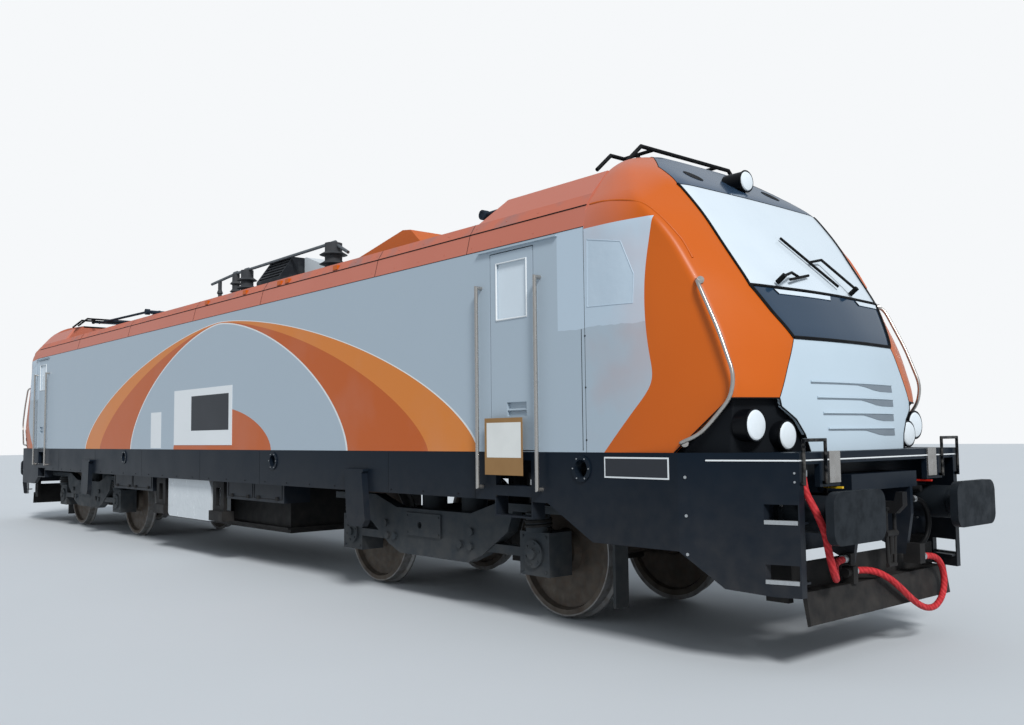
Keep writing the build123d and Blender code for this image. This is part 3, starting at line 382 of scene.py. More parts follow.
# Which material each CAD node wears, by the start of its name
nodeLooks = {
    "cab_shell": "cab", "nose_panels": "silver nose paint", "front_masks": "front mask lacquer",
    "roof_caps": "roof cap lacquer", "cab_windows": "pale opaque glass", "headlights": "black lamp housing",
    "side_wall": "side", "cant_panels": "roof edge paint", "roof_deck": "roof",
    "roof_cowls": "roof edge paint", "underframe": "underframe enamel", "cab_bulkheads": "cab lining",
    "driver_desks": "cab lining", "driver_seats": "seat cloth", "machine_room_block": "machine steel",
    "transformer_tank": "black chassis paint", "underfloor_boxes": "underframe enamel",
    "wrapped_cases": "wrapping film", "lifting_stirrups": "black chassis paint",
    "buffers": "worn buffer steel", "couplers": "black chassis paint", "ploughs": "black chassis paint",
    "handrails": "rails", "wipers": "black rubber", "hose_couplings": "black chassis paint",
    "brake_resistor": "resistor", "roof_wedge_covers": "orange cab paint",
    "roof_insulators": "ceramic insulator", "roof_busbars": "tinned copper bar",
    "pantograph_bases": "cast pantograph alloy", "pantograph_lower_arm": "cast pantograph alloy",
    "pantograph_upper_arm": "cast pantograph alloy", "pantograph_head": "carbon strip",
    "door_glass": "pale opaque glass", "door_": "silver side paint", "bogie_frame": "bogie paint",
    "suspension": "bogie paint", "traction_motors": "black chassis paint", "wheelset": "wheel",
}
for node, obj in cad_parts.items():
    fitting = [key for key in nodeLooks if node.startswith(key)]
    if fitting:
        obj.data.materials.clear()
        obj.data.materials.append(materials[nodeLooks[max(fitting, key=len)]])
print("CAD nodes dressed")


def addObject(name, data):
    obj = bpy.data.objects.new(name, data)
    bpy.context.collection.objects.link(obj)
    return obj


# Pieces that the scene adds are gathered in a mesh and then ride on a CAD body
def addBlock(piece, low, high):
    middle = (Vector(low) + Vector(high)) / 2
    size = Vector(high) - Vector(low)
    bmesh.ops.create_cube(piece, size=1, matrix=Matrix.Translation(middle) @ Matrix.Diagonal((*size, 1)))


def addRod(piece, start, end, radius, segments=12, endRadius=None):
    start, end = Vector(start), Vector(end)
    turn = (end - start).to_track_quat("Z", "Y").to_matrix().to_4x4()
    bmesh.ops.create_cone(piece, cap_ends=True, segments=segments, radius1=radius,
                          radius2=radius if endRadius is None else endRadius,
                          depth=(end - start).length, matrix=Matrix.Translation((start + end) / 2) @ turn)


def addRing(piece, centre, axis, radius, thick, segments=32, sides=8):
    turn = Vector(axis).to_track_quat("Z", "Y")
    rings = []
    for step in range(segments):
        angle = 2 * math.pi * step / segments
        outward = Vector((math.cos(angle), math.sin(angle), 0))
        rim = []
        for corner in range(sides):
            tilt = 2 * math.pi * corner / sides
            spot = outward * (radius + thick * math.cos(tilt)) + Vector((0, 0, thick * math.sin(tilt)))
            rim.append(piece.verts.new(Vector(centre) + turn @ spot))
        rings.append(rim)
    for first, second in zip(rings, rings[1:] + rings[:1]):
        for corner in range(sides):
            after = (corner + 1) % sides
            piece.faces.new((first[corner], second[corner], second[after], first[after]))


# Round tube through points, one rim at each point turned halfway between its runs
def addTube(piece, points, radius, sides=8):
    points = [Vector(point) for point in points]
    rims = []
    across = None
    for number, point in enumerate(points):
        before = (point - points[number - 1]).normalized() if number else Vector()
        after = (points[number + 1] - point).normalized() if number + 1 < len(points) else Vector()
        along = (before + after).normalized()
        if across is None:
            across = along.orthogonal().normalized()
        across = (across - along * across.dot(along)).normalized()
        other = along.cross(across)
        rim = []
        for side in range(sides):
            turn = 2 * math.pi * side / sides
            rim.append(piece.verts.new(point + radius * (math.cos(turn) * across + math.sin(turn) * other)))
        rims.append(rim)
    for first, second in zip(rims, rims[1:]):
        for side in range(sides):
            after = (side + 1) % sides
            piece.faces.new((first[side], first[after], second[after], second[side]))
    piece.faces.new(reversed(rims[0]))
    piece.faces.new(rims[-1])


# Thin strip on the outer side wall, between two corners: x and height above the rail top
def addSidePlate(piece, low, high, thick=skinLift, side=-1, y=halfWidth):
    ys = sorted((side * y, side * (y + thick)))
    addBlock(piece, (low[0], ys[0], low[1] + railTop), (high[0], ys[1], high[1] + railTop))


# Six-sided bolt head, sunk a little into what it sits on. Size: its radius and height
def addBolt(piece, centre, axis, size, sunk=2 * mm):
    radius, height = size
    centre, axis = Vector(centre), Vector(axis)
    addRod(piece, centre - axis * sunk, centre + axis * height, radius, 6)


# Ring of bolts around a centre, whose first bolt lies turned up by start
def addBoltRing(piece, centre, ring, count, axis, size, start=0.0):
    across = Vector((0, 1, 0) if axis[0] else (1, 0, 0))
    for number in range(count):
        angle = start + 2 * math.pi * number / count
        spot = Vector(centre) + ring * (across * math.cos(angle) + Vector((0, 0, math.sin(angle))))
        addBolt(piece, spot, axis, size)


def turnRound(piece, verts):
    bmesh.ops.rotate(piece, verts=verts, cent=(0, 0, 0), matrix=Matrix.Rotation(math.pi, 3, "Z"))


def copyAll(piece):
    made = bmesh.ops.duplicate(piece, geom=piece.verts[:] + piece.edges[:] + piece.faces[:])["geom"]
    verts = [item for item in made if isinstance(item, bmesh.types.BMVert)]
    faces = [item for item in made if isinstance(item, bmesh.types.BMFace)]
    return verts, faces


def copyTurned(piece):
    turnRound(piece, copyAll(piece)[0])


def copyMirrored(piece):
    verts, faces = copyAll(piece)
    bmesh.ops.scale(piece, verts=verts, vec=(1, -1, 1))
    bmesh.ops.reverse_faces(piece, faces=faces)


def copyToCorners(piece):
    copyMirrored(piece)
    copyTurned(piece)


def finishPiece(piece, name, material, node, smooth=False, body="body"):
    mesh = bpy.data.meshes.new(name)
    piece.to_mesh(mesh)
    piece.free()
    mesh.materials.append(materials[material])
    if smooth:
        mesh.shade_smooth()
        mesh.set_sharp_from_angle(angle=math.radians(smooth))
    obj = addObject(name.replace(" ", "_"), mesh)
    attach(obj, body)
    return obj


def finishTurned(piece, *settings):
    copyTurned(piece)
    return finishPiece(piece, *settings)


# Cab

# Skin of the cab: rows from the floor up with the height, then (x, y) of the flank's end, of the
# crease at the corner pillar and of the edge of the front, and last x of the front's middle
cabRows = [
    (1.469, (8.300, 1.430), (9.040, 1.300), (9.250, 0.900), 9.330),
    (1.900, (8.300, 1.430), (9.080, 1.300), (9.215, 0.940), 9.300),
    (2.300, (8.300, 1.430), (8.970, 1.290), (9.190, 0.760), 9.230),
    (2.700, (8.250, 1.430), (8.775, 1.295), (8.965, 0.940), 9.030),
    (3.050, (8.150, 1.430), (8.585, 1.325), (8.740, 0.960), 8.782),
    (3.271, (8.080, 1.430), (8.420, 1.375), (8.606, 0.975), 8.626),
    (3.455, (8.000, 1.385), (8.230, 1.340), (8.476, 0.965), 8.496),
    (3.600, (7.950, 1.272), (8.110, 1.220), (8.370, 0.955), 8.390),
    (3.780, (7.850, 1.130), (7.960, 1.100), (8.115, 0.880), 8.135),
    (3.920, (7.800, 0.900), (7.850, 0.850), (7.910, 0.700), 7.930),
    (3.990, (7.790, 0.560), (7.800, 0.540), (7.815, 0.500), 7.825),
]
cabSkin = {"middle": 0.25, "reach": (0.30, 0.05, 0.14, 0.18), "rowReach": 0.13, "steps": 5,
           "thick": 0.03, "recessDeep": 0.06, "recessSheet": 0.004, "backLow": cantTop - 0.12,
           "flankFrom": 1.2, "cutFrom": 0.9}
# Panels of the front start here, ahead of the joint with the side walls
panelStart = cabJoint + 0.01
# Half width of the panels across the front by height, and the heights where they meet
frontEdge = [(1.469, 0.680), (1.590, 0.720), (1.700, 0.800), (1.790, 0.930), (1.850, 0.940),
             (2.080, 0.820), (2.300, 0.700), (2.490, 0.810), (2.700, 0.905), (3.570, 0.970),
             (3.780, 0.880), (3.920, 0.700), (4.060, 0.500)]
panelLevels = [(2.300, "nose"), (2.700, "mask"), (3.570, "screen"), (9.0, "cap")]
recessLine = [(8.600, 1.469), (9.045, 1.850)]
sideWindow = [(7.790, 2.620), (8.260, 2.600), (8.270, 2.820), (8.150, 3.090), (7.800, 3.160)]
# Radius of the seal between two panels: the first of these that meets the edge gives it
seals = {"cap": 4 * mm, "screen": 13 * mm, "mask": 15 * mm, "recess": 6 * mm, "window": 4 * mm,
         "nose": 3 * mm}


# Path with its corners rounded: each one starts and ends at its reach from the corner, or nearer
# where the runs are short
def roundPath(points, reaches, steps, most=0.45):
    path = [points[0]]
    for before, here, after, reach in zip(points, points[1:], points[2:], reaches):
        start = here + (before - here).normalized() * min(reach, (before - here).length * most)
        end = here + (after - here).normalized() * min(reach, (after - here).length * most)
        for step in range(steps + 1):
            share = step / steps
            path.append((1 - share) ** 2 * start + 2 * share * (1 - share) * here + share ** 2 * end)
    path.append(points[-1])
    return path


def edgeAt(height):
    for (low, first), (high, second) in zip(frontEdge, frontEdge[1:]):
        if height <= high:
            return first + (second - first) * (height - low) / (high - low)
    return frontEdge[-1][1]


def insideWindow(x, z):
    turns = []
    for (x1, z1), (x2, z2) in zip(sideWindow, sideWindow[1:] + sideWindow[:1]):
        turns.append((x2 - x1) * (z - z1) - (z2 - z1) * (x - x1) > 0)
    return all(turns)


def panelAt(spot):
    x, y, z = spot.x, abs(spot.y), spot.z - railTop
    if y < edgeAt(z) and x > panelStart:
        return next(name for level, name in panelLevels if z < level)
    (x1, z1), (x2, z2) = recessLine
    if z < z2 and x > x1 + (z - z1) * (x2 - x1) / (z2 - z1):
        return "recess"
    return "window" if y > cabSkin["flankFrom"] and insideWindow(x, z) else "shell"


# Cuts with a plane the faces whose centre passes a test
def cutFaces(skin, point, normal, test):
    faces = [face for face in skin.faces if test(face.calc_center_median())]
    parts = {part for face in faces for part in (face, *face.edges, *face.verts)}
    bmesh.ops.bisect_plane(skin, geom=list(parts), dist=1e-5, plane_co=point, plane_no=normal)


# Cuts one side of the front along one run of its panels' edge
def cutRun(skin, side, low, high):
    (z1, y1), (z2, y2) = low, high

    def near(spot):
        return side * spot.y > 0 and spot.x > panelStart and z1 < spot.z - railTop < z2

    cutFaces(skin, (0, side * y1, z1 + railTop), (0, z2 - z1, side * (y1 - y2)), near)


def makeSkin():
    levels = []
    for z, flank, crease, front, middle in cabRows:
        side = [(cabJoint, flank[1]), flank, crease, front, (middle, cabSkin["middle"])]
        ring = [Vector((x, -y, z + railTop)) for x, y in side]
        ring += [Vector((x, y, z + railTop)) for x, y in reversed(side)]
        levels.append(roundPath(ring, cabSkin["reach"] + cabSkin["reach"][::-1], cabSkin["steps"]))
    rowReaches = [cabSkin["rowReach"]] * len(levels)
    columns = [roundPath(list(column), rowReaches, cabSkin["steps"]) for column in zip(*levels)]
    skin = bmesh.new()
    grid = [[skin.verts.new(point) for point in column] for column in columns]
    for first, second in zip(grid, grid[1:]):
        for row in range(len(first) - 1):
            skin.faces.new((first[row], second[row], second[row + 1], first[row + 1]))
    skin.faces.new([column[-1] for column in grid])
    right, left = grid[0], grid[-1]
    for row in range(len(right) - 1):
        if right[row].co.z > cabSkin["backLow"]:
            skin.faces.new((right[row], right[row + 1], left[row + 1], left[row]))
    bmesh.ops.recalc_face_normals(skin, faces=skin.faces[:])
    for level in [height for height, half in frontEdge[1:-1]]:
        cutFaces(skin, (0, 0, level + railTop), (0, 0, 1), lambda spot: spot.x > panelStart)
    for side in (-1, 1):
        for low, high in zip(frontEdge, frontEdge[1:]):
            cutRun(skin, side, low, high)
    for (x1, z1), (x2, z2) in [recessLine, *zip(sideWindow, sideWindow[1:] + sideWindow[:1])]:
        cutFaces(skin, (x1, 0, z1 + railTop), (z2 - z1, 0, x1 - x2),
                 lambda spot: abs(spot.y) > cabSkin["cutFrom"])
    return skin


# Faces of one kind of panel taken out of the skin
def pickPanel(skin, kind):
    panel = skin.copy()
    others = [face for face in panel.faces if panelAt(face.calc_center_median()) != kind]
    bmesh.ops.delete(panel, geom=others, context="FACES")
    return panel


# The same as thick as its sheet
def takePanel(skin, kind):
    panel = pickPanel(skin, kind)
    bmesh.ops.solidify(panel, geom=panel.faces[:], thickness=cabSkin["thick"])
    return panel


# Lamp recess: its floor lies behind the skin and its rim joins the two
def takeRecess(skin):
    recess = pickPanel(skin, "recess")
    recess.normal_update()
    outer = recess.faces[:]
    inward = {tuple(vert.co): -vert.normal * cabSkin["recessDeep"] for vert in recess.verts}
    made = bmesh.ops.extrude_face_region(recess, geom=outer)
    for item in made["geom"]:
        if isinstance(item, bmesh.types.BMVert):
            item.co += inward[tuple(item.co)]
    bmesh.ops.delete(recess, geom=[face for face in outer if face.is_valid], context="FACES")
    bmesh.ops.solidify(recess, geom=recess.faces[:], thickness=cabSkin["recessSheet"])
    return recess


def cabPanels(skin):
    shell = takePanel(skin, "shell")
    for end in ("front", "rear"):
        piece = shell.copy()
        if end == "rear":
            turnRound(piece, piece.verts)
        node = "cab_shell_" + end
        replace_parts(finishPiece(piece, "cab_skin_" + end, "cab", node, 30), node)
    for node, kind, material in (("nose_panels", "nose", "silver nose paint"),
                                 ("front_masks", "mask", "front mask lacquer"),
                                 ("cab_windows", "screen", "pale opaque glass"),
                                 ("roof_caps", "cap", "roof cap lacquer")):
        piece = takePanel(skin, kind)
        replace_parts(finishTurned(piece, node + "_skin", material, node, 30), node)
    finishTurned(takeRecess(skin), "lamp recess skin", "black chassis paint", "front_masks", 30)
    window = takePanel(skin, "window")
    finishTurned(window, "side window skin", "film over side glass", "cab_windows", 30)


def cabSeals(skin):
    pieces = {name: bmesh.new() for name in ("black rubber", "film over side glass")}
    for edge in skin.edges:
        kinds = {panelAt(face.calc_center_median()) for face in edge.link_faces}
        if len(kinds) < 2:
            continue
        name = next(name for name in seals if name in kinds)
        piece = pieces["film over side glass" if name == "window" else "black rubber"]
        addRod(piece, edge.verts[0].co, edge.verts[1].co, seals[name], 6)
    for material, piece in pieces.items():
        finishTurned(piece, "cab seals " + material, material, "front_masks")


# Openings seen on the skin: louvres of the nose (drop below the mask, run to the right and left),
# which widen from a slit and whose grey patch is painted shade in the opening, pockets of the wipers as runs
# of y, and the horns
louvres = {"rows": [(0.330, 0.600, 0.560), (0.445, 0.550, 0.550), (0.560, 0.500, 0.530),
                    (0.675, 0.460, 0.520)],
           "top": 2.300, "deep": 0.050, "slit": 0.008, "from": 0.02, "widening": 0.25,
           "steps": 10, "lift": 2 * mm, "lip": 7 * mm, "lipOut": 4 * mm}
pockets = {"runs": [(-0.66, 0.05), (0.47, 0.86)], "top": 2.680, "foot": 2.645, "inset": 0.03,
           "steps": 8, "lift": 4 * mm, "rim": 8 * mm}
horns = {"y": 0.55, "z": 3.74, "wide": 0.085, "tall": 0.055, "lift": 3 * mm, "steps": 10}
# Rays that find a spot on the skin start this far out
rayAhead = 12
rayAside = 3


# Spot on the front of the skin and its normal
def onFront(tree, y, z):
    return tree.ray_cast(Vector((rayAhead, y, z + railTop)), Vector((-1, 0, 0)))[:2]


def patchOnSkin(piece, tree, outline, lift):
    spots = []
    for y, z in outline:
        spot, normal = onFront(tree, y, z)
        spots.append(piece.verts.new(spot + normal * lift))
    faces = [piece.faces.new((spots[number], spots[number + 1], spots[-number - 2], spots[-number - 1]))
             for number in range(len(spots) // 2 - 1)]
    piece.normal_update()
    bmesh.ops.solidify(piece, geom=faces, thickness=lift)


def skinOpenings(skin):
    tree = BVHTree.FromBMesh(skin)
    dark, lips, shade, pale, ledge = (bmesh.new() for count in range(5))
    steps = louvres["steps"]
    for drop, right, left in louvres["rows"]:
        top = louvres["top"] - drop
        upper, lower = [], []
        for step in range(steps + 1):
            y = -right + (left + right) * step / steps
            share = min(max((y - louvres["from"]) / louvres["widening"], 0), 1)
            upper.append((y, top))
            lower.append((y, top - louvres["slit"] - (louvres["deep"] - louvres["slit"]) * share))
        # Grey patch laid on the skin over the louvre opening: painted shade standing for the shadow under
        # the fin
        patchOnSkin(shade, tree, upper + lower[::-1], louvres["lift"])
        raised = Vector((louvres["lipOut"], 0, louvres["lip"]))
        addTube(lips, [onFront(tree, y, z)[0] + raised for y, z in upper], louvres["lip"], 6)
    for low, high in pockets["runs"]:
        shares = [step / pockets["steps"] for step in range(pockets["steps"] + 1)]
        start, long = low + pockets["inset"], high - low - 2 * pockets["inset"]
        upper = [(low + (high - low) * share, pockets["top"]) for share in shares]
        lower = [(start + long * share, pockets["foot"]) for share in shares]
        patchOnSkin(pale, tree, upper + lower[::-1], pockets["lift"])
        addTube(ledge, [onFront(tree, y, z)[0] for y, z in [lower[0], *upper, lower[-1]]], pockets["rim"], 6)
    for side in (-1, 1):
        ring = []
        for step in range(horns["steps"] + 1):
            turn = math.pi * step / horns["steps"]
            ring.append((side * horns["y"] + horns["wide"] * math.cos(turn),
                         horns["z"] + horns["tall"] * math.sin(turn)))
        ring += [(y, 2 * horns["z"] - z) for y, z in reversed(ring)]
        patchOnSkin(dark, tree, ring, horns["lift"])
    for piece, name, material, node in ((dark, "horn openings", "black rubber", "front_masks"),
                                        (shade, "louvre openings", "louvre painted shade", "nose_panels"),
                                        (pale, "wiper pockets", "pale opaque glass", "cab_windows"),
                                        (ledge, "wiper pocket rims", "black rubber", "front_masks"),
                                        (lips, "louvre lips", "silver nose paint", "nose_panels")):
        finishTurned(piece, name, material, node)


# Shut line with its bolts ahead of the door, then the joint of cab and side wall
shutLine = {"x": 7.722, "low": 1.483, "high": 2.448, "width": 5 * mm, "boltHeights": (1.565, 1.98, 2.39),
            "boltAhead": 0.04, "bolt": (8 * mm, 3 * mm)}


def cabSeams():
    piece = bmesh.new()
    half = shutLine["width"] / 2
    addSidePlate(piece, (shutLine["x"] - half, shutLine["low"]), (shutLine["x"] + half, shutLine["high"]))
    addSidePlate(piece, (cabJoint - half / 2, floorTop - railTop), (cabJoint + half / 2, wallTop - railTop))
    for z in shutLine["boltHeights"]:
        spot = (shutLine["x"] + shutLine["boltAhead"], -halfWidth, z + railTop)
        addBolt(piece, spot, (0, -1, 0), shutLine["bolt"])
    copyToCorners(piece)
    finishPiece(piece, "cab seams", "black rubber", "front_masks")


# Lamps: centre of each front as x, y and height, then its radius. A lens is two cones, given as
# their reach ahead of the front and their share of the radius
lampPlaces = [(9.150, 1.150, 1.660, 0.115), (9.225, 0.880, 1.585, 0.105), (8.320, 0.0, 3.760, 0.090)]
lens = {"steps": [(0.0, 0.93), (9 * mm, 0.85), (15 * mm, 0.5)], "segments": 32}
bezel = {"back": 4 * mm, "thick": 8 * mm}


def lamps():
    bezels, lenses = bmesh.new(), bmesh.new()
    for x, y, z, radius in lampPlaces:
        for side in ((-1, 1) if y else (1,)):
            centre = Vector((x, side * y, z + railTop))
            addRing(bezels, centre - Vector((bezel["back"], 0, 0)), (1, 0, 0), radius, bezel["thick"])
            for (back, wide), (ahead, narrow) in zip(lens["steps"], lens["steps"][1:]):
                addRod(lenses, centre + Vector((back, 0, 0)), centre + Vector((ahead, 0, 0)),
                       radius * wide, lens["segments"], radius * narrow)
    finishTurned(lenses, "lamp lenses", "ribbed lamp glass", "headlights", 50)
    finishTurned(bezels, "lamp bezels", "black lamp housing", "headlights", 40)


# Raised line on the flank, over the side window and down the pillar, as (x, height)
reliefLine = {"radius": 9 * mm, "bend": 0.05, "route": [
    (7.79, 3.455), (7.897, 3.456), (8.08, 3.434), (8.224, 3.407), (8.332, 3.362), (8.416, 3.292),
    (8.512, 3.187), (8.62, 3.042), (8.70, 2.90)]}


def flankRelief(skin):
    tree = BVHTree.FromBMesh(skin)
    piece = bmesh.new()
    hits = [tree.ray_cast(Vector((x, -rayAside, z + railTop)), Vector((0, 1, 0)))[0]
            for x, z in reliefLine["route"]]
    path = roundPath(hits, [reliefLine["bend"]] * len(hits), 3)
    addTube(piece, path, reliefLine["radius"], 8)
    copyToCorners(piece)
    finishPiece(piece, "flank relief lines", "orange cab paint", "cab_shell_front", 60)


# Bent rail along each corner pillar, from its upper foot down to the lower one
cornerRail = {"radius": 15 * mm, "bend": 0.08, "foot": 28 * mm, "footOut": (0.02, 0.02, 0),
              "footIn": (-0.02, 0.06, 0), "route": [
    (8.740, 1.250, 2.725), (8.805, 1.335, 2.715), (8.990, 1.340, 2.335), (9.112, 1.340, 2.010),
    (9.084, 1.345, 1.850), (8.925, 1.375, 1.676), (8.835, 1.395, 1.594), (8.690, 1.425, 1.538),
    (8.650, 1.350, 1.536)]}


def cornerRails():
    piece = bmesh.new()
    route = [Vector((x, -y, z + railTop)) for x, y, z in cornerRail["route"]]
    path = roundPath(route, [cornerRail["bend"]] * len(route), 4)
    addTube(piece, path, cornerRail["radius"], 12)
    outer, inner = Vector(cornerRail["footOut"]), Vector(cornerRail["footIn"])
    for foot in (path[1], path[-2]):
        addRod(piece, foot + outer, foot + inner, cornerRail["foot"], 16)
    copyToCorners(piece)
    finishPiece(piece, "corner handrails", "polished rail steel", "handrails", 50)


# Driver's seat: foot, post and plate of steel, crowned pads for the seat and its back
seat = {"x": 7.50, "half": 0.27, "long": 0.50, "pad": 0.12, "low": 1.85, "top": 2.75, "crown": 0.25,
        "pull": 0.06, "steps": 10, "post": 0.06, "foot": 0.19, "footTop": 0.17, "footHigh": 0.02,
        "inset": 0.06, "plateLow": 0.015, "plateHigh": 0.012, "backLift": 0.03}


# Crowned pad between two corners: its sides pull in, and it is fullest in the middle along one axis
def addPad(piece, low, high, axis):
    middle = (Vector(low) + Vector(high)) / 2
    half = (Vector(high) - Vector(low)) / 2
    pad = bmesh.new()
    bmesh.ops.create_cube(pad, size=2)
    bmesh.ops.subdivide_edges(pad, edges=pad.edges[:], cuts=seat["steps"], use_grid_fill=True)
    for vert in pad.verts:
        spot = vert.co.copy()
        others = [spot[other] for other in range(3) if other != axis]
        swell = (1 - others[0] ** 4) * (1 - others[1] ** 4)
        for other in range(3):
            pull = 1 - seat["pull"] * spot[axis] ** 2
            if other == axis:
                pull = 1 - seat["crown"] + seat["crown"] * swell
            vert.co[other] = middle[other] + half[other] * spot[other] * pull
    mesh = bpy.data.meshes.new("pad")
    pad.to_mesh(mesh)
    pad.free()
    piece.from_mesh(mesh)


def driverSeats():
    x, half, z, inset = seat["x"], seat["half"], seat["low"] + railTop, seat["inset"]
    steel = bmesh.new()
    middle = x + seat["long"] / 2
    addRod(steel, (middle, 0, floorTop), (middle, 0, z), seat["post"], 24)
    addRod(steel, (middle, 0, floorTop), (middle, 0, floorTop + seat["footHigh"]), seat["foot"], 32,
           seat["footTop"])
    addBlock(steel, (x + inset, -half + inset, z - seat["plateLow"]),
             (x + seat["long"] - inset, half - inset, z + seat["plateHigh"]))
    pads = bmesh.new()
    addPad(pads, (x, -half, z), (x + seat["long"], half, z + seat["pad"]), 2)
    addPad(pads, (x - seat["pad"], -half, z + seat["backLift"]), (x, half, seat["top"] + railTop), 0)
    finishTurned(steel, "seat posts", "machine steel", "driver_seats", 40)
    cushions = finishTurned(pads, "seat pads", "seat cloth", "driver_seats", 60)
    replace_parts(cushions, "driver_seats")


# Doors: rear edge of each leaf at the front end, its side, and the two bodies that its trim rides on,
# at the front and, half a turn away, at the rear
doorTrim = {"width": 0.56, "margin": 0.08, "windowLow": 2.62, "windowHigh": 3.12, "frame": 9 * mm}
doors = [(6.59, -1, ("cab_door_front_right", "cab_door_rear_left")),
         (7.055, 1, ("cab_door_front_left", "cab_door_rear_right"))]


def doorFrames():
    for xRear, side, bodies in doors:
        low = xRear + doorTrim["margin"]
        high = xRear + doorTrim["width"] - doorTrim["margin"]
        corners = [(low, "windowLow"), (high, "windowLow"), (high, "windowHigh"), (low, "windowHigh")]
        corners = [(x, side * halfWidth, doorTrim[level] + railTop) for x, level in corners]
        for body in bodies:
            piece = bmesh.new()
            addTube(piece, corners + corners[:1], doorTrim["frame"])
            if body == bodies[1]:
                turnRound(piece, piece.verts)
            finishPiece(piece, "window frame of " + body, "white enamel", "door_front_right", body=body)


# Rain gutters over the doors, placed for the first door and shifted for the other
gutter = {"low": 6.43, "high": 7.46, "z": 3.24, "deep": 28 * mm, "thick": 14 * mm, "pastJoint": 0.05}


def doorGutters():
    piece = bmesh.new()
    for xRear, side, bodies in doors:
        low = xRear + gutter["low"] - doors[0][0]
        high = min(xRear + gutter["high"] - doors[0][0], cabJoint + gutter["pastJoint"])
        addSidePlate(piece, (low, gutter["z"]), (high, gutter["z"] + gutter["thick"]), gutter["deep"], side)
    finishTurned(piece, "rain gutters", "silver side paint", "side_wall_right")


# Rows of bolts and panel seams along the cant and the roof edge. A row is given by its y, its height,
# the way its bolts face and their size
roofTrim = {"pitch": 0.42, "seam": 3 * mm, "longSeam": 5 * mm, "cantY": -1.385, "longY": -1.387,
            "kerbY": -1.32, "seams": (-5.2, -2.6, 0.0, 2.08, 4.7, 6.25),
            "rows": [(-1.352, cantTop + 0.053, Vector((0, -0.85, 0.53)).normalized(), (9 * mm, 4 * mm)),
                     (-1.418, wallTop + 0.05, Vector((0, -0.97, 0.24)), (6.3 * mm, 3 * mm))]}


def cantSeams():
    piece = bmesh.new()
    thin = roofTrim["seam"]
    for x in roofTrim["seams"]:
        across = [(x, -halfWidth, wallTop), (x, roofTrim["cantY"], cantTop), (x, roofTrim["kerbY"], kerbTop)]
        addTube(piece, across, thin, 6)
    for y, z, radius in ((roofTrim["longY"], cantTop, roofTrim["longSeam"]), (-halfWidth, wallTop, thin)):
        addTube(piece, [(-cabJoint, y, z), (cabJoint, y, z)], radius, 6)
    copyMirrored(piece)
    finishPiece(piece, "roof seams", "black rubber", "cant_panels")


def cantBolts():
    piece = bmesh.new()
    for number in range(int(2 * cabJoint / roofTrim["pitch"])):
        x = -cabJoint + roofTrim["pitch"] * (number + 0.5)
        for y, z, outward, size in roofTrim["rows"]:
            addBolt(piece, (x, y, z), outward, size)
    copyMirrored(piece)
    finishPiece(piece, "roof edge bolts", "roof edge paint", "cant_panels")


# Lifting lugs on the roof edge
kerbLugs = {"places": (0.35, 1.54, 2.49, 2.69, 3.82), "long": 0.09, "tall": 0.05, "ys": (-1.385, -1.34),
            "z": 3.50}


def roofLugs():
    piece = bmesh.new()
    long, tall = kerbLugs["long"] / 2, kerbLugs["tall"] / 2
    outer, inner = kerbLugs["ys"]
    z = kerbLugs["z"] + railTop
    for x in kerbLugs["places"]:
        addBlock(piece, (x - long, outer, z - tall), (x + long, inner, z + tall))
    finishTurned(piece, "roof lugs", "orange cab paint", "cant_panels")


# Blank board and blank plates of the right-hand side, as corners of x and height.
# darkFrom is how far the board's dark field starts from its low corner.
sideBoard = {"low": (-0.62, 1.53), "high": (1.31, 2.31), "rim": 0.10, "thick": 4 * mm,
             "darkFrom": (0.62, 0.2)}
whitePlate = {"low": (-1.53, 1.485), "high": (-1.12, 2.02), "thick": 1.2 * mm}
printLift = 1.2 * mm
numberPlate = {"low": (7.95, 1.275), "high": (8.59, 1.435), "rim": 0.012, "thick": 3 * mm}


def blankBoards():
    piece = bmesh.new()
    for board in (sideBoard, whitePlate, numberPlate):
        addSidePlate(piece, board["low"], board["high"], board["thick"])
    finishPiece(piece, "blank white boards", "white enamel", "side_wall_right")
    piece = bmesh.new()
    for board in (sideBoard, numberPlate):
        (left, foot), (right, head), rim = board["low"], board["high"], board["rim"]
        inset = board.get("darkFrom", (rim, rim))
        addSidePlate(piece, (left + inset[0], foot + inset[1]), (right - rim, head - rim),
                     board["thick"] + printLift)
    finishPiece(piece, "blank dark panels", "dark board print", "side_wall_right")


# Cardboard with blank sheets, hung on the handrails beside the door
hungCard = {"low": (6.57, 1.27), "high": (7.07, 1.76), "y": 1.492, "thick": 4 * mm,
            "sheetLow": (6.60, 1.42), "sheetHigh": (7.05, 1.72), "sheetThick": 1 * mm}


def doorCard():
    piece = bmesh.new()
    addSidePlate(piece, hungCard["low"], hungCard["high"], hungCard["thick"], y=hungCard["y"])
    sheets = bmesh.new()
    addSidePlate(sheets, hungCard["sheetLow"], hungCard["sheetHigh"], hungCard["sheetThick"],
                 y=hungCard["y"] + hungCard["thick"])
    finishPiece(piece, "hung cardboard", "plain cardboard", "side_wall_right")
    finishPiece(sheets, "blank sheets", "white paper", "side_wall_right")


# Underframe trim: bolts and seams of the skirt, and a white line round the platform
skirtTrim = {"low": 1.051, "high": 1.46, "from": -7.1, "long": 14.4, "pitch": 0.55, "boltRise": 0.035,
             "bolt": (8 * mm, 5 * mm), "seam": 4 * mm, "thick": 1 * mm,
             "seams": (-6.2, -4.1, -1.9, 0.3, 2.1, 4.95, 6.35)}
deckLine = {"z": 1.415, "radius": 6 * mm, "from": 8.87, "out": 3 * mm}


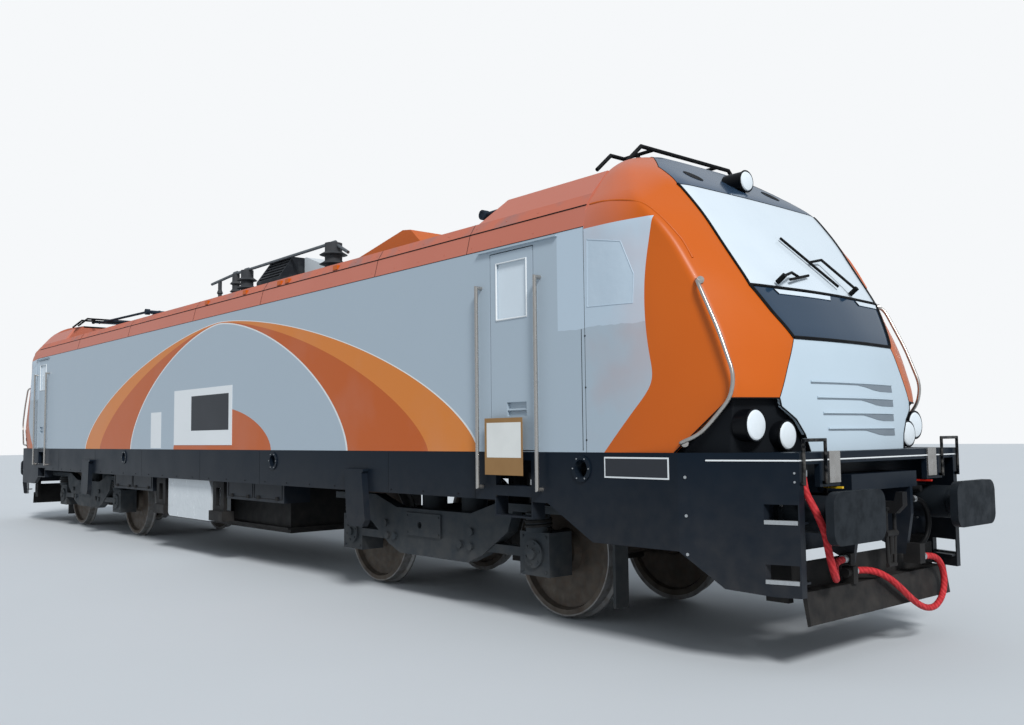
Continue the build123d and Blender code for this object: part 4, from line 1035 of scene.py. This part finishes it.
# Slanting panel at each corner of the frame: x and y of its ends, its bolts as (x, height, radius)
# and the bright edges of its foot holes
cornerPanel = {"from": (8.67, 1.43), "to": (9.48, 1.16), "outward": (0.316, -0.949, 0),
               "treads": (0.985, 0.585), "tread": (9.252, 9.468), "treadOut": 4 * mm, "treadIn": 30 * mm,
               "treadHigh": 28 * mm, "boltHigh": 6 * mm,
               "bolts": [(8.722, 1.296, 12 * mm), (8.725, 1.024, 12 * mm), (8.728, 0.753, 12 * mm),
                         (9.455, 1.332, 8 * mm), (9.455, 1.272, 8 * mm)]}


def cornerAt(x):
    (x1, y1), (x2, y2) = cornerPanel["from"], cornerPanel["to"]
    return y1 + (y2 - y1) * (x - x1) / (x2 - x1)


def skirtDetails():
    piece = bmesh.new()
    z = skirtTrim["low"] + skirtTrim["boltRise"] + railTop
    half = skirtTrim["seam"] / 2
    for number in range(int(skirtTrim["long"] / skirtTrim["pitch"])):
        x = skirtTrim["from"] + skirtTrim["pitch"] * number
        addBolt(piece, (x, -halfWidth, z), (0, -1, 0), skirtTrim["bolt"])
    for x in skirtTrim["seams"]:
        addSidePlate(piece, (x - half, skirtTrim["low"]), (x + half, skirtTrim["high"]), skirtTrim["thick"])
    finishTurned(piece, "skirt bolts and seams", "black chassis paint", "underframe")
    piece = bmesh.new()
    for x, z, radius in cornerPanel["bolts"]:
        spot = (x, -cornerAt(x), z + railTop)
        addBolt(piece, spot, cornerPanel["outward"], (radius, cornerPanel["boltHigh"]))
    low, high = cornerPanel["tread"]
    out, back = -cornerPanel["treadOut"], cornerPanel["treadIn"]
    for z in cornerPanel["treads"]:
        corners = []
        for rise in (0, cornerPanel["treadHigh"]):
            for x, shift in ((low, out), (high, out), (high, back), (low, back)):
                corners.append(piece.verts.new((x, -cornerAt(x) + shift, z + railTop + rise)))
        for face in ((3, 2, 1, 0), (4, 5, 6, 7), (0, 1, 5, 4), (1, 2, 6, 5), (2, 3, 7, 6), (3, 0, 4, 7)):
            piece.faces.new([corners[corner] for corner in face])
    copyToCorners(piece)
    finishPiece(piece, "bright skirt bolts", "bright bolt steel", "underframe")


# White line along the edge of the front platform
def deckEdge():
    piece = bmesh.new()
    start, out, z = deckLine["from"], deckLine["out"], deckLine["z"] + railTop
    x, y = cornerPanel["to"]
    addTube(piece, [(start, -cornerAt(start) - out, z), (x, -y - out, z)], deckLine["radius"], 6)
    copyMirrored(piece)
    addTube(piece, [(x + out, -y, z), (x + out, y, z)], deckLine["radius"], 6)
    finishTurned(piece, "platform edge lines", "white enamel", "underframe")


# Jacking sockets: x of each on the right-hand side, and the bolts of its flange
jackTrim = {"places": (7.70, 2.46, -2.67), "z": 1.34, "flange": 12 * mm, "ring": 0.088, "count": 6,
            "bolt": (6 * mm, 5 * mm)}


def jackBolts():
    piece = bmesh.new()
    for x in jackTrim["places"]:
        centre = (x, -halfWidth - jackTrim["flange"], jackTrim["z"] + railTop)
        addBoltRing(piece, centre, jackTrim["ring"], jackTrim["count"], (0, -1, 0), jackTrim["bolt"])
    finishTurned(piece, "jacking socket bolts", "bright bolt steel", "underframe")


# Cocks at the front: handles of the two brake pipes, thin flat bars
cockTrim = {"x": 9.38, "y": 0.66, "z": 1.21, "long": 0.13, "half": 0.012, "thick": 0.014}


def cockHandles():
    x, z, half = cockTrim["x"], cockTrim["z"] + railTop, cockTrim["half"]
    for side, name, material in ((-1, "right", "yellow cock paint"), (1, "left", "red cock paint")):
        piece = bmesh.new()
        y = side * cockTrim["y"]
        addBlock(piece, (x - half, y - half, z), (x + cockTrim["long"], y + half, z + cockTrim["thick"]))
        finishPiece(piece, "cock handle " + name, material, "hose_couplings")


# Hoses repeat the CAD routes: x ahead of the headstock, y, height above the rail top
headstock = 9.20
hoses = {
    "brake_hose_right": {"radius": 0.025, "length": 1.321, "material": "band", "route": [
        (0.230, -1.030, 1.350), (0.230, -1.030, 1.220), (0.330, -1.055, 1.090), (0.400, -1.050, 0.940),
        (0.410, -1.030, 0.790), (0.400, -0.960, 0.660), (0.350, -0.850, 0.595), (0.270, -0.730, 0.615),
        (0.200, -0.620, 0.695), (0.200, -0.470, 0.695)]},
    "brake_hose_left": {"radius": 0.025, "length": 1.887, "material": "band", "route": [
        (0.300, 0.450, 0.640), (0.300, 0.595, 0.640), (0.300, 0.745, 0.595), (0.300, 0.826, 0.472),
        (0.300, 0.800, 0.324), (0.300, 0.677, 0.238), (0.300, 0.530, 0.235), (0.300, 0.390, 0.280),
        (0.300, 0.262, 0.348), (0.300, 0.130, 0.430), (0.290, -0.005, 0.515), (0.250, -0.135, 0.580),
        (0.200, -0.260, 0.600), (0.200, -0.385, 0.600)]},
    "air_hose": {"radius": 0.020, "length": 0.678, "material": "black rubber", "route": [
        (0.250, 0.440, 1.080), (0.250, 0.560, 1.080), (0.260, 0.652, 1.003), (0.265, 0.683, 0.887),
        (0.260, 0.642, 0.774), (0.250, 0.544, 0.705), (0.250, 0.450, 0.705)]},
}
ferrule = {"long": 0.045, "over": 5 * mm}


def layHose(name, hose):
    curve = bpy.data.curves.new(name + " curve", "CURVE")
    curve.dimensions = "3D"
    curve.bevel_depth = hose["radius"]
    curve.bevel_resolution = 5
    curve.resolution_u = 10
    spline = curve.splines.new("NURBS")
    spline.points.add(len(hose["route"]) - 1)
    for spot, (ahead, y, z) in zip(spline.points, hose["route"]):
        spot.co = (headstock + ahead, y, z + railTop, 1)
    spline.order_u = 3
    spline.use_endpoint_u = True
    curve.materials.append(materials[hose["material"]])
    obj = addObject(name + "_looks", curve)
    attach(obj, "body")
    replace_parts(obj, name)
    ahead, y, z = hose["route"][0]
    piece = bmesh.new()
    for first, second in ((0, 1), (-1, -2)):
        start, toward = Vector(hose["route"][first]), Vector(hose["route"][second])
        start, toward = (Vector((headstock + p.x, p.y, p.z + railTop)) for p in (start, toward))
        along = (toward - start).normalized()
        addRod(piece, start, start + along * ferrule["long"], hose["radius"] + ferrule["over"], 16)
    finishPiece(piece, name + " ferrules", "bright bolt steel", "hose_couplings")


# Bogies and wheels

springs = {"y": 1.10, "low": 0.79, "high": 0.905, "radius": 0.112, "wire": 0.015, "turns": 3,
           "steps": 18}
# Bolts of the axle boxes: ring on the cover, square on the housing, and those of the links
coverBolts = {"y": 1.175, "ring": 0.092, "count": 6, "start": 0.3, "bolt": (10 * mm, 8 * mm)}
housingBolts = {"y": 1.15, "half": 0.15, "bolt": (12 * mm, 10 * mm)}
linkBolts = {"y": 1.178, "places": (-0.40, 0.13), "heights": (0.64, 0.81), "bolt": (10 * mm, 8 * mm)}


def coilPoints(x, y):
    count = springs["turns"] * springs["steps"]
    low, high = springs["low"] + railTop, springs["high"] + railTop
    for number in range(count + 1):
        angle = 2 * math.pi * number / springs["steps"]
        yield (x + springs["radius"] * math.cos(angle), y + springs["radius"] * math.sin(angle),
               low + (high - low) * number / count)


def bogieDetails(end, pivot):
    coils, bolts = bmesh.new(), bmesh.new()
    half, halfBase, height = housingBolts["half"], wheelPlaces["halfBase"], wheelPlaces["height"]
    for x in (pivot - halfBase, pivot + halfBase):
        for side in (-1, 1):
            outward = (0, side, 0)
            addTube(coils, list(coilPoints(x, side * springs["y"])), springs["wire"], 6)
            addBoltRing(bolts, (x, side * coverBolts["y"], height), coverBolts["ring"], coverBolts["count"],
                        outward, coverBolts["bolt"], coverBolts["start"])
            for across, up in ((-half, -half), (-half, half), (half, -half), (half, half)):
                spot = (x + across, side * housingBolts["y"], height + up)
                addBolt(bolts, spot, outward, housingBolts["bolt"])
    for side in (-1, 1):
        for place in linkBolts["places"]:
            for z in linkBolts["heights"]:
                spot = (pivot - side * place, side * linkBolts["y"], z + railTop)
                addBolt(bolts, spot, (0, side, 0), linkBolts["bolt"])
    body = "bogie_" + end
    finishPiece(coils, "primary coils " + end, "burnt spring steel", "suspension_front", 40, body=body)
    finishPiece(bolts, "axle box bolts " + end, "bogie paint", "suspension_front", body=body)


# Clamps on the busbars over their insulators
barClamps = {"places": (0.24, 0.60, 2.96), "y": -0.9, "z": 3.975, "half": 0.05, "radius": 28 * mm}


def roofClamps():
    piece = bmesh.new()
    y, z, half = barClamps["y"], barClamps["z"] + railTop, barClamps["half"]
    for x in barClamps["places"]:
        addRod(piece, (x - half, y, z), (x + half, y, z), barClamps["radius"], 12)
    finishTurned(piece, "busbar clamps", "tinned copper bar", "roof_busbars")


# Seams and hinges of the box doors, which are given by their ends along x
boxDoors = [(-3.30, -2.52), (-2.47, -1.69), (1.05, 1.75), (1.80, 2.54)]
boxTrim = {"low": 0.87, "high": 1.34, "y": 1.35, "seam": 6 * mm, "hingeIn": 0.12, "hingeHalf": 0.03,
           "hingeOut": 0.018, "hingeLow": 0.012, "hingeHigh": 0.03}


def boxSeams():
    piece = bmesh.new()
    foot, head, y = boxTrim["low"] + railTop, boxTrim["high"] + railTop, -boxTrim["y"]
    half = boxTrim["hingeHalf"]
    for low, high in boxDoors:
        corners = [(low, y, foot), (high, y, foot), (high, y, head), (low, y, head)]
        addTube(piece, corners + corners[:1], boxTrim["seam"], 6)
        for x in (low + boxTrim["hingeIn"], high - boxTrim["hingeIn"]):
            addBlock(piece, (x - half, y - boxTrim["hingeOut"], foot - boxTrim["hingeLow"]),
                     (x + half, y, foot + boxTrim["hingeHigh"]))
    finishTurned(piece, "box door seams", "black chassis paint", "underfloor_boxes")


# Buffers: bolts of the sleeve flanges
flange = {"ahead": 0.04, "y": 0.875, "z": 1.04, "ring": 0.155, "count": 8,
          "bolt": (11 * mm, 9 * mm)}


def bufferBolts():
    piece = bmesh.new()
    for side in (-1, 1):
        centre = (headstock + flange["ahead"], side * flange["y"], flange["z"] + railTop)
        addBoltRing(piece, centre, flange["ring"], flange["count"], (1, 0, 0), flange["bolt"],
                    math.pi / flange["count"])
    finishTurned(piece, "buffer bolts", "bright bolt steel", "buffers")


skin = makeSkin()
cabPanels(skin)
cabSeals(skin)
skinOpenings(skin)
print("cab skin made")
cabSeams()
flankRelief(skin)
cornerRails()
driverSeats()
lamps()
doorFrames()
doorGutters()
print("cab trim made")
cantSeams()
cantBolts()
roofLugs()
roofClamps()
print("roof trim made")
blankBoards()
doorCard()
skirtDetails()
deckEdge()
jackBolts()
boxSeams()
bufferBolts()
cockHandles()
print("frame trim made")
for name, hose in hoses.items():
    layHose(name, hose)
print("hoses laid")
bogieDetails("front", wheelPlaces["pivot"])
bogieDetails("rear", -wheelPlaces["pivot"])
print("bogie trim made")

# Studio: pale floor and backdrop, soft sky light and one sun
studio = {"floor": "#C4C9CD", "world": "#E2EAF2", "worldLight": 0.60, "backdrop": "#F6F8FA", "sun": 2.9,
          "sunAngle": 14.0, "sunTurn": (50, 0, 64), "floorHalf": 120}


def studioFloor():
    material, tree, place = startMaterial("pale studio floor")
    look = {"stainShare": 0.15, "stain": "#CDD1D5", "patch": 3000, "rough": 0.7, "spread": 0.1,
            "grain": 30, "depth": 0.1}
    dressShader(tree, place, linear(studio["floor"]), look)
    mesh = bpy.data.meshes.new("floor")
    half = studio["floorHalf"]
    corners = [(-half, -half, 0), (half, -half, 0), (half, half, 0), (-half, half, 0)]
    mesh.from_pydata(corners, [], [(0, 1, 2, 3)])
    mesh.materials.append(material)
    floor = addObject("floor", mesh)


def studioLight():
    world = bpy.data.worlds.new("sky")
    bpy.context.scene.world = world
    world.use_nodes = True
    tree = world.node_tree
    light = tree.nodes["Background"]
    light.inputs["Color"].default_value = linear(studio["world"])
    light.inputs["Strength"].default_value = studio["worldLight"]
    backdrop = addNode(tree, "Background", [linear(studio["backdrop"]), 1.0])
    rays = addNode(tree, "LightPath").outputs
    seen = calc(tree, "MAXIMUM", rays["Is Camera Ray"], rays["Is Transmission Ray"])
    mixed = addNode(tree, "MixShader", [seen, light, backdrop])
    tree.links.new(mixed.outputs[0], tree.nodes["World Output"].inputs["Surface"])
    lamp = bpy.data.lights.new("sun", "SUN")
    lamp.energy = studio["sun"]
    lamp.angle = math.radians(studio["sunAngle"])
    sun = addObject("sun", lamp)
    sun.rotation_euler = [math.radians(turn) for turn in studio["sunTurn"]]


# Camera where the photographer stood
photo = {"place": (13.13, -6.84, 1.60 + railTop), "heading": 139.16, "pitch": 4.06, "roll": -0.65,
         "focalPixels": 961.6, "width": 1024, "drop": 5.7}


def photoCamera():
    camera = bpy.data.cameras.new("photo camera")
    camera.sensor_width = 36.0
    camera.lens = photo["focalPixels"] / photo["width"] * camera.sensor_width
    camera.shift_y = photo["drop"] / photo["width"]
    camera.clip_end = 500
    obj = addObject("photo camera", camera)
    heading, pitch = math.radians(photo["heading"]), math.radians(photo["pitch"])
    level = math.cos(pitch)
    sight = Vector((math.cos(heading) * level, math.sin(heading) * level, math.sin(pitch)))
    turn = sight.to_track_quat("-Z", "Y").to_matrix() @ Matrix.Rotation(math.radians(photo["roll"]), 3, "Z")
    obj.matrix_world = Matrix.Translation(photo["place"]) @ turn.to_4x4()
    bpy.context.scene.camera = obj


studioFloor()
studioLight()
photoCamera()
bpy.context.scene.view_settings.view_transform = "Standard"
print("studio set")
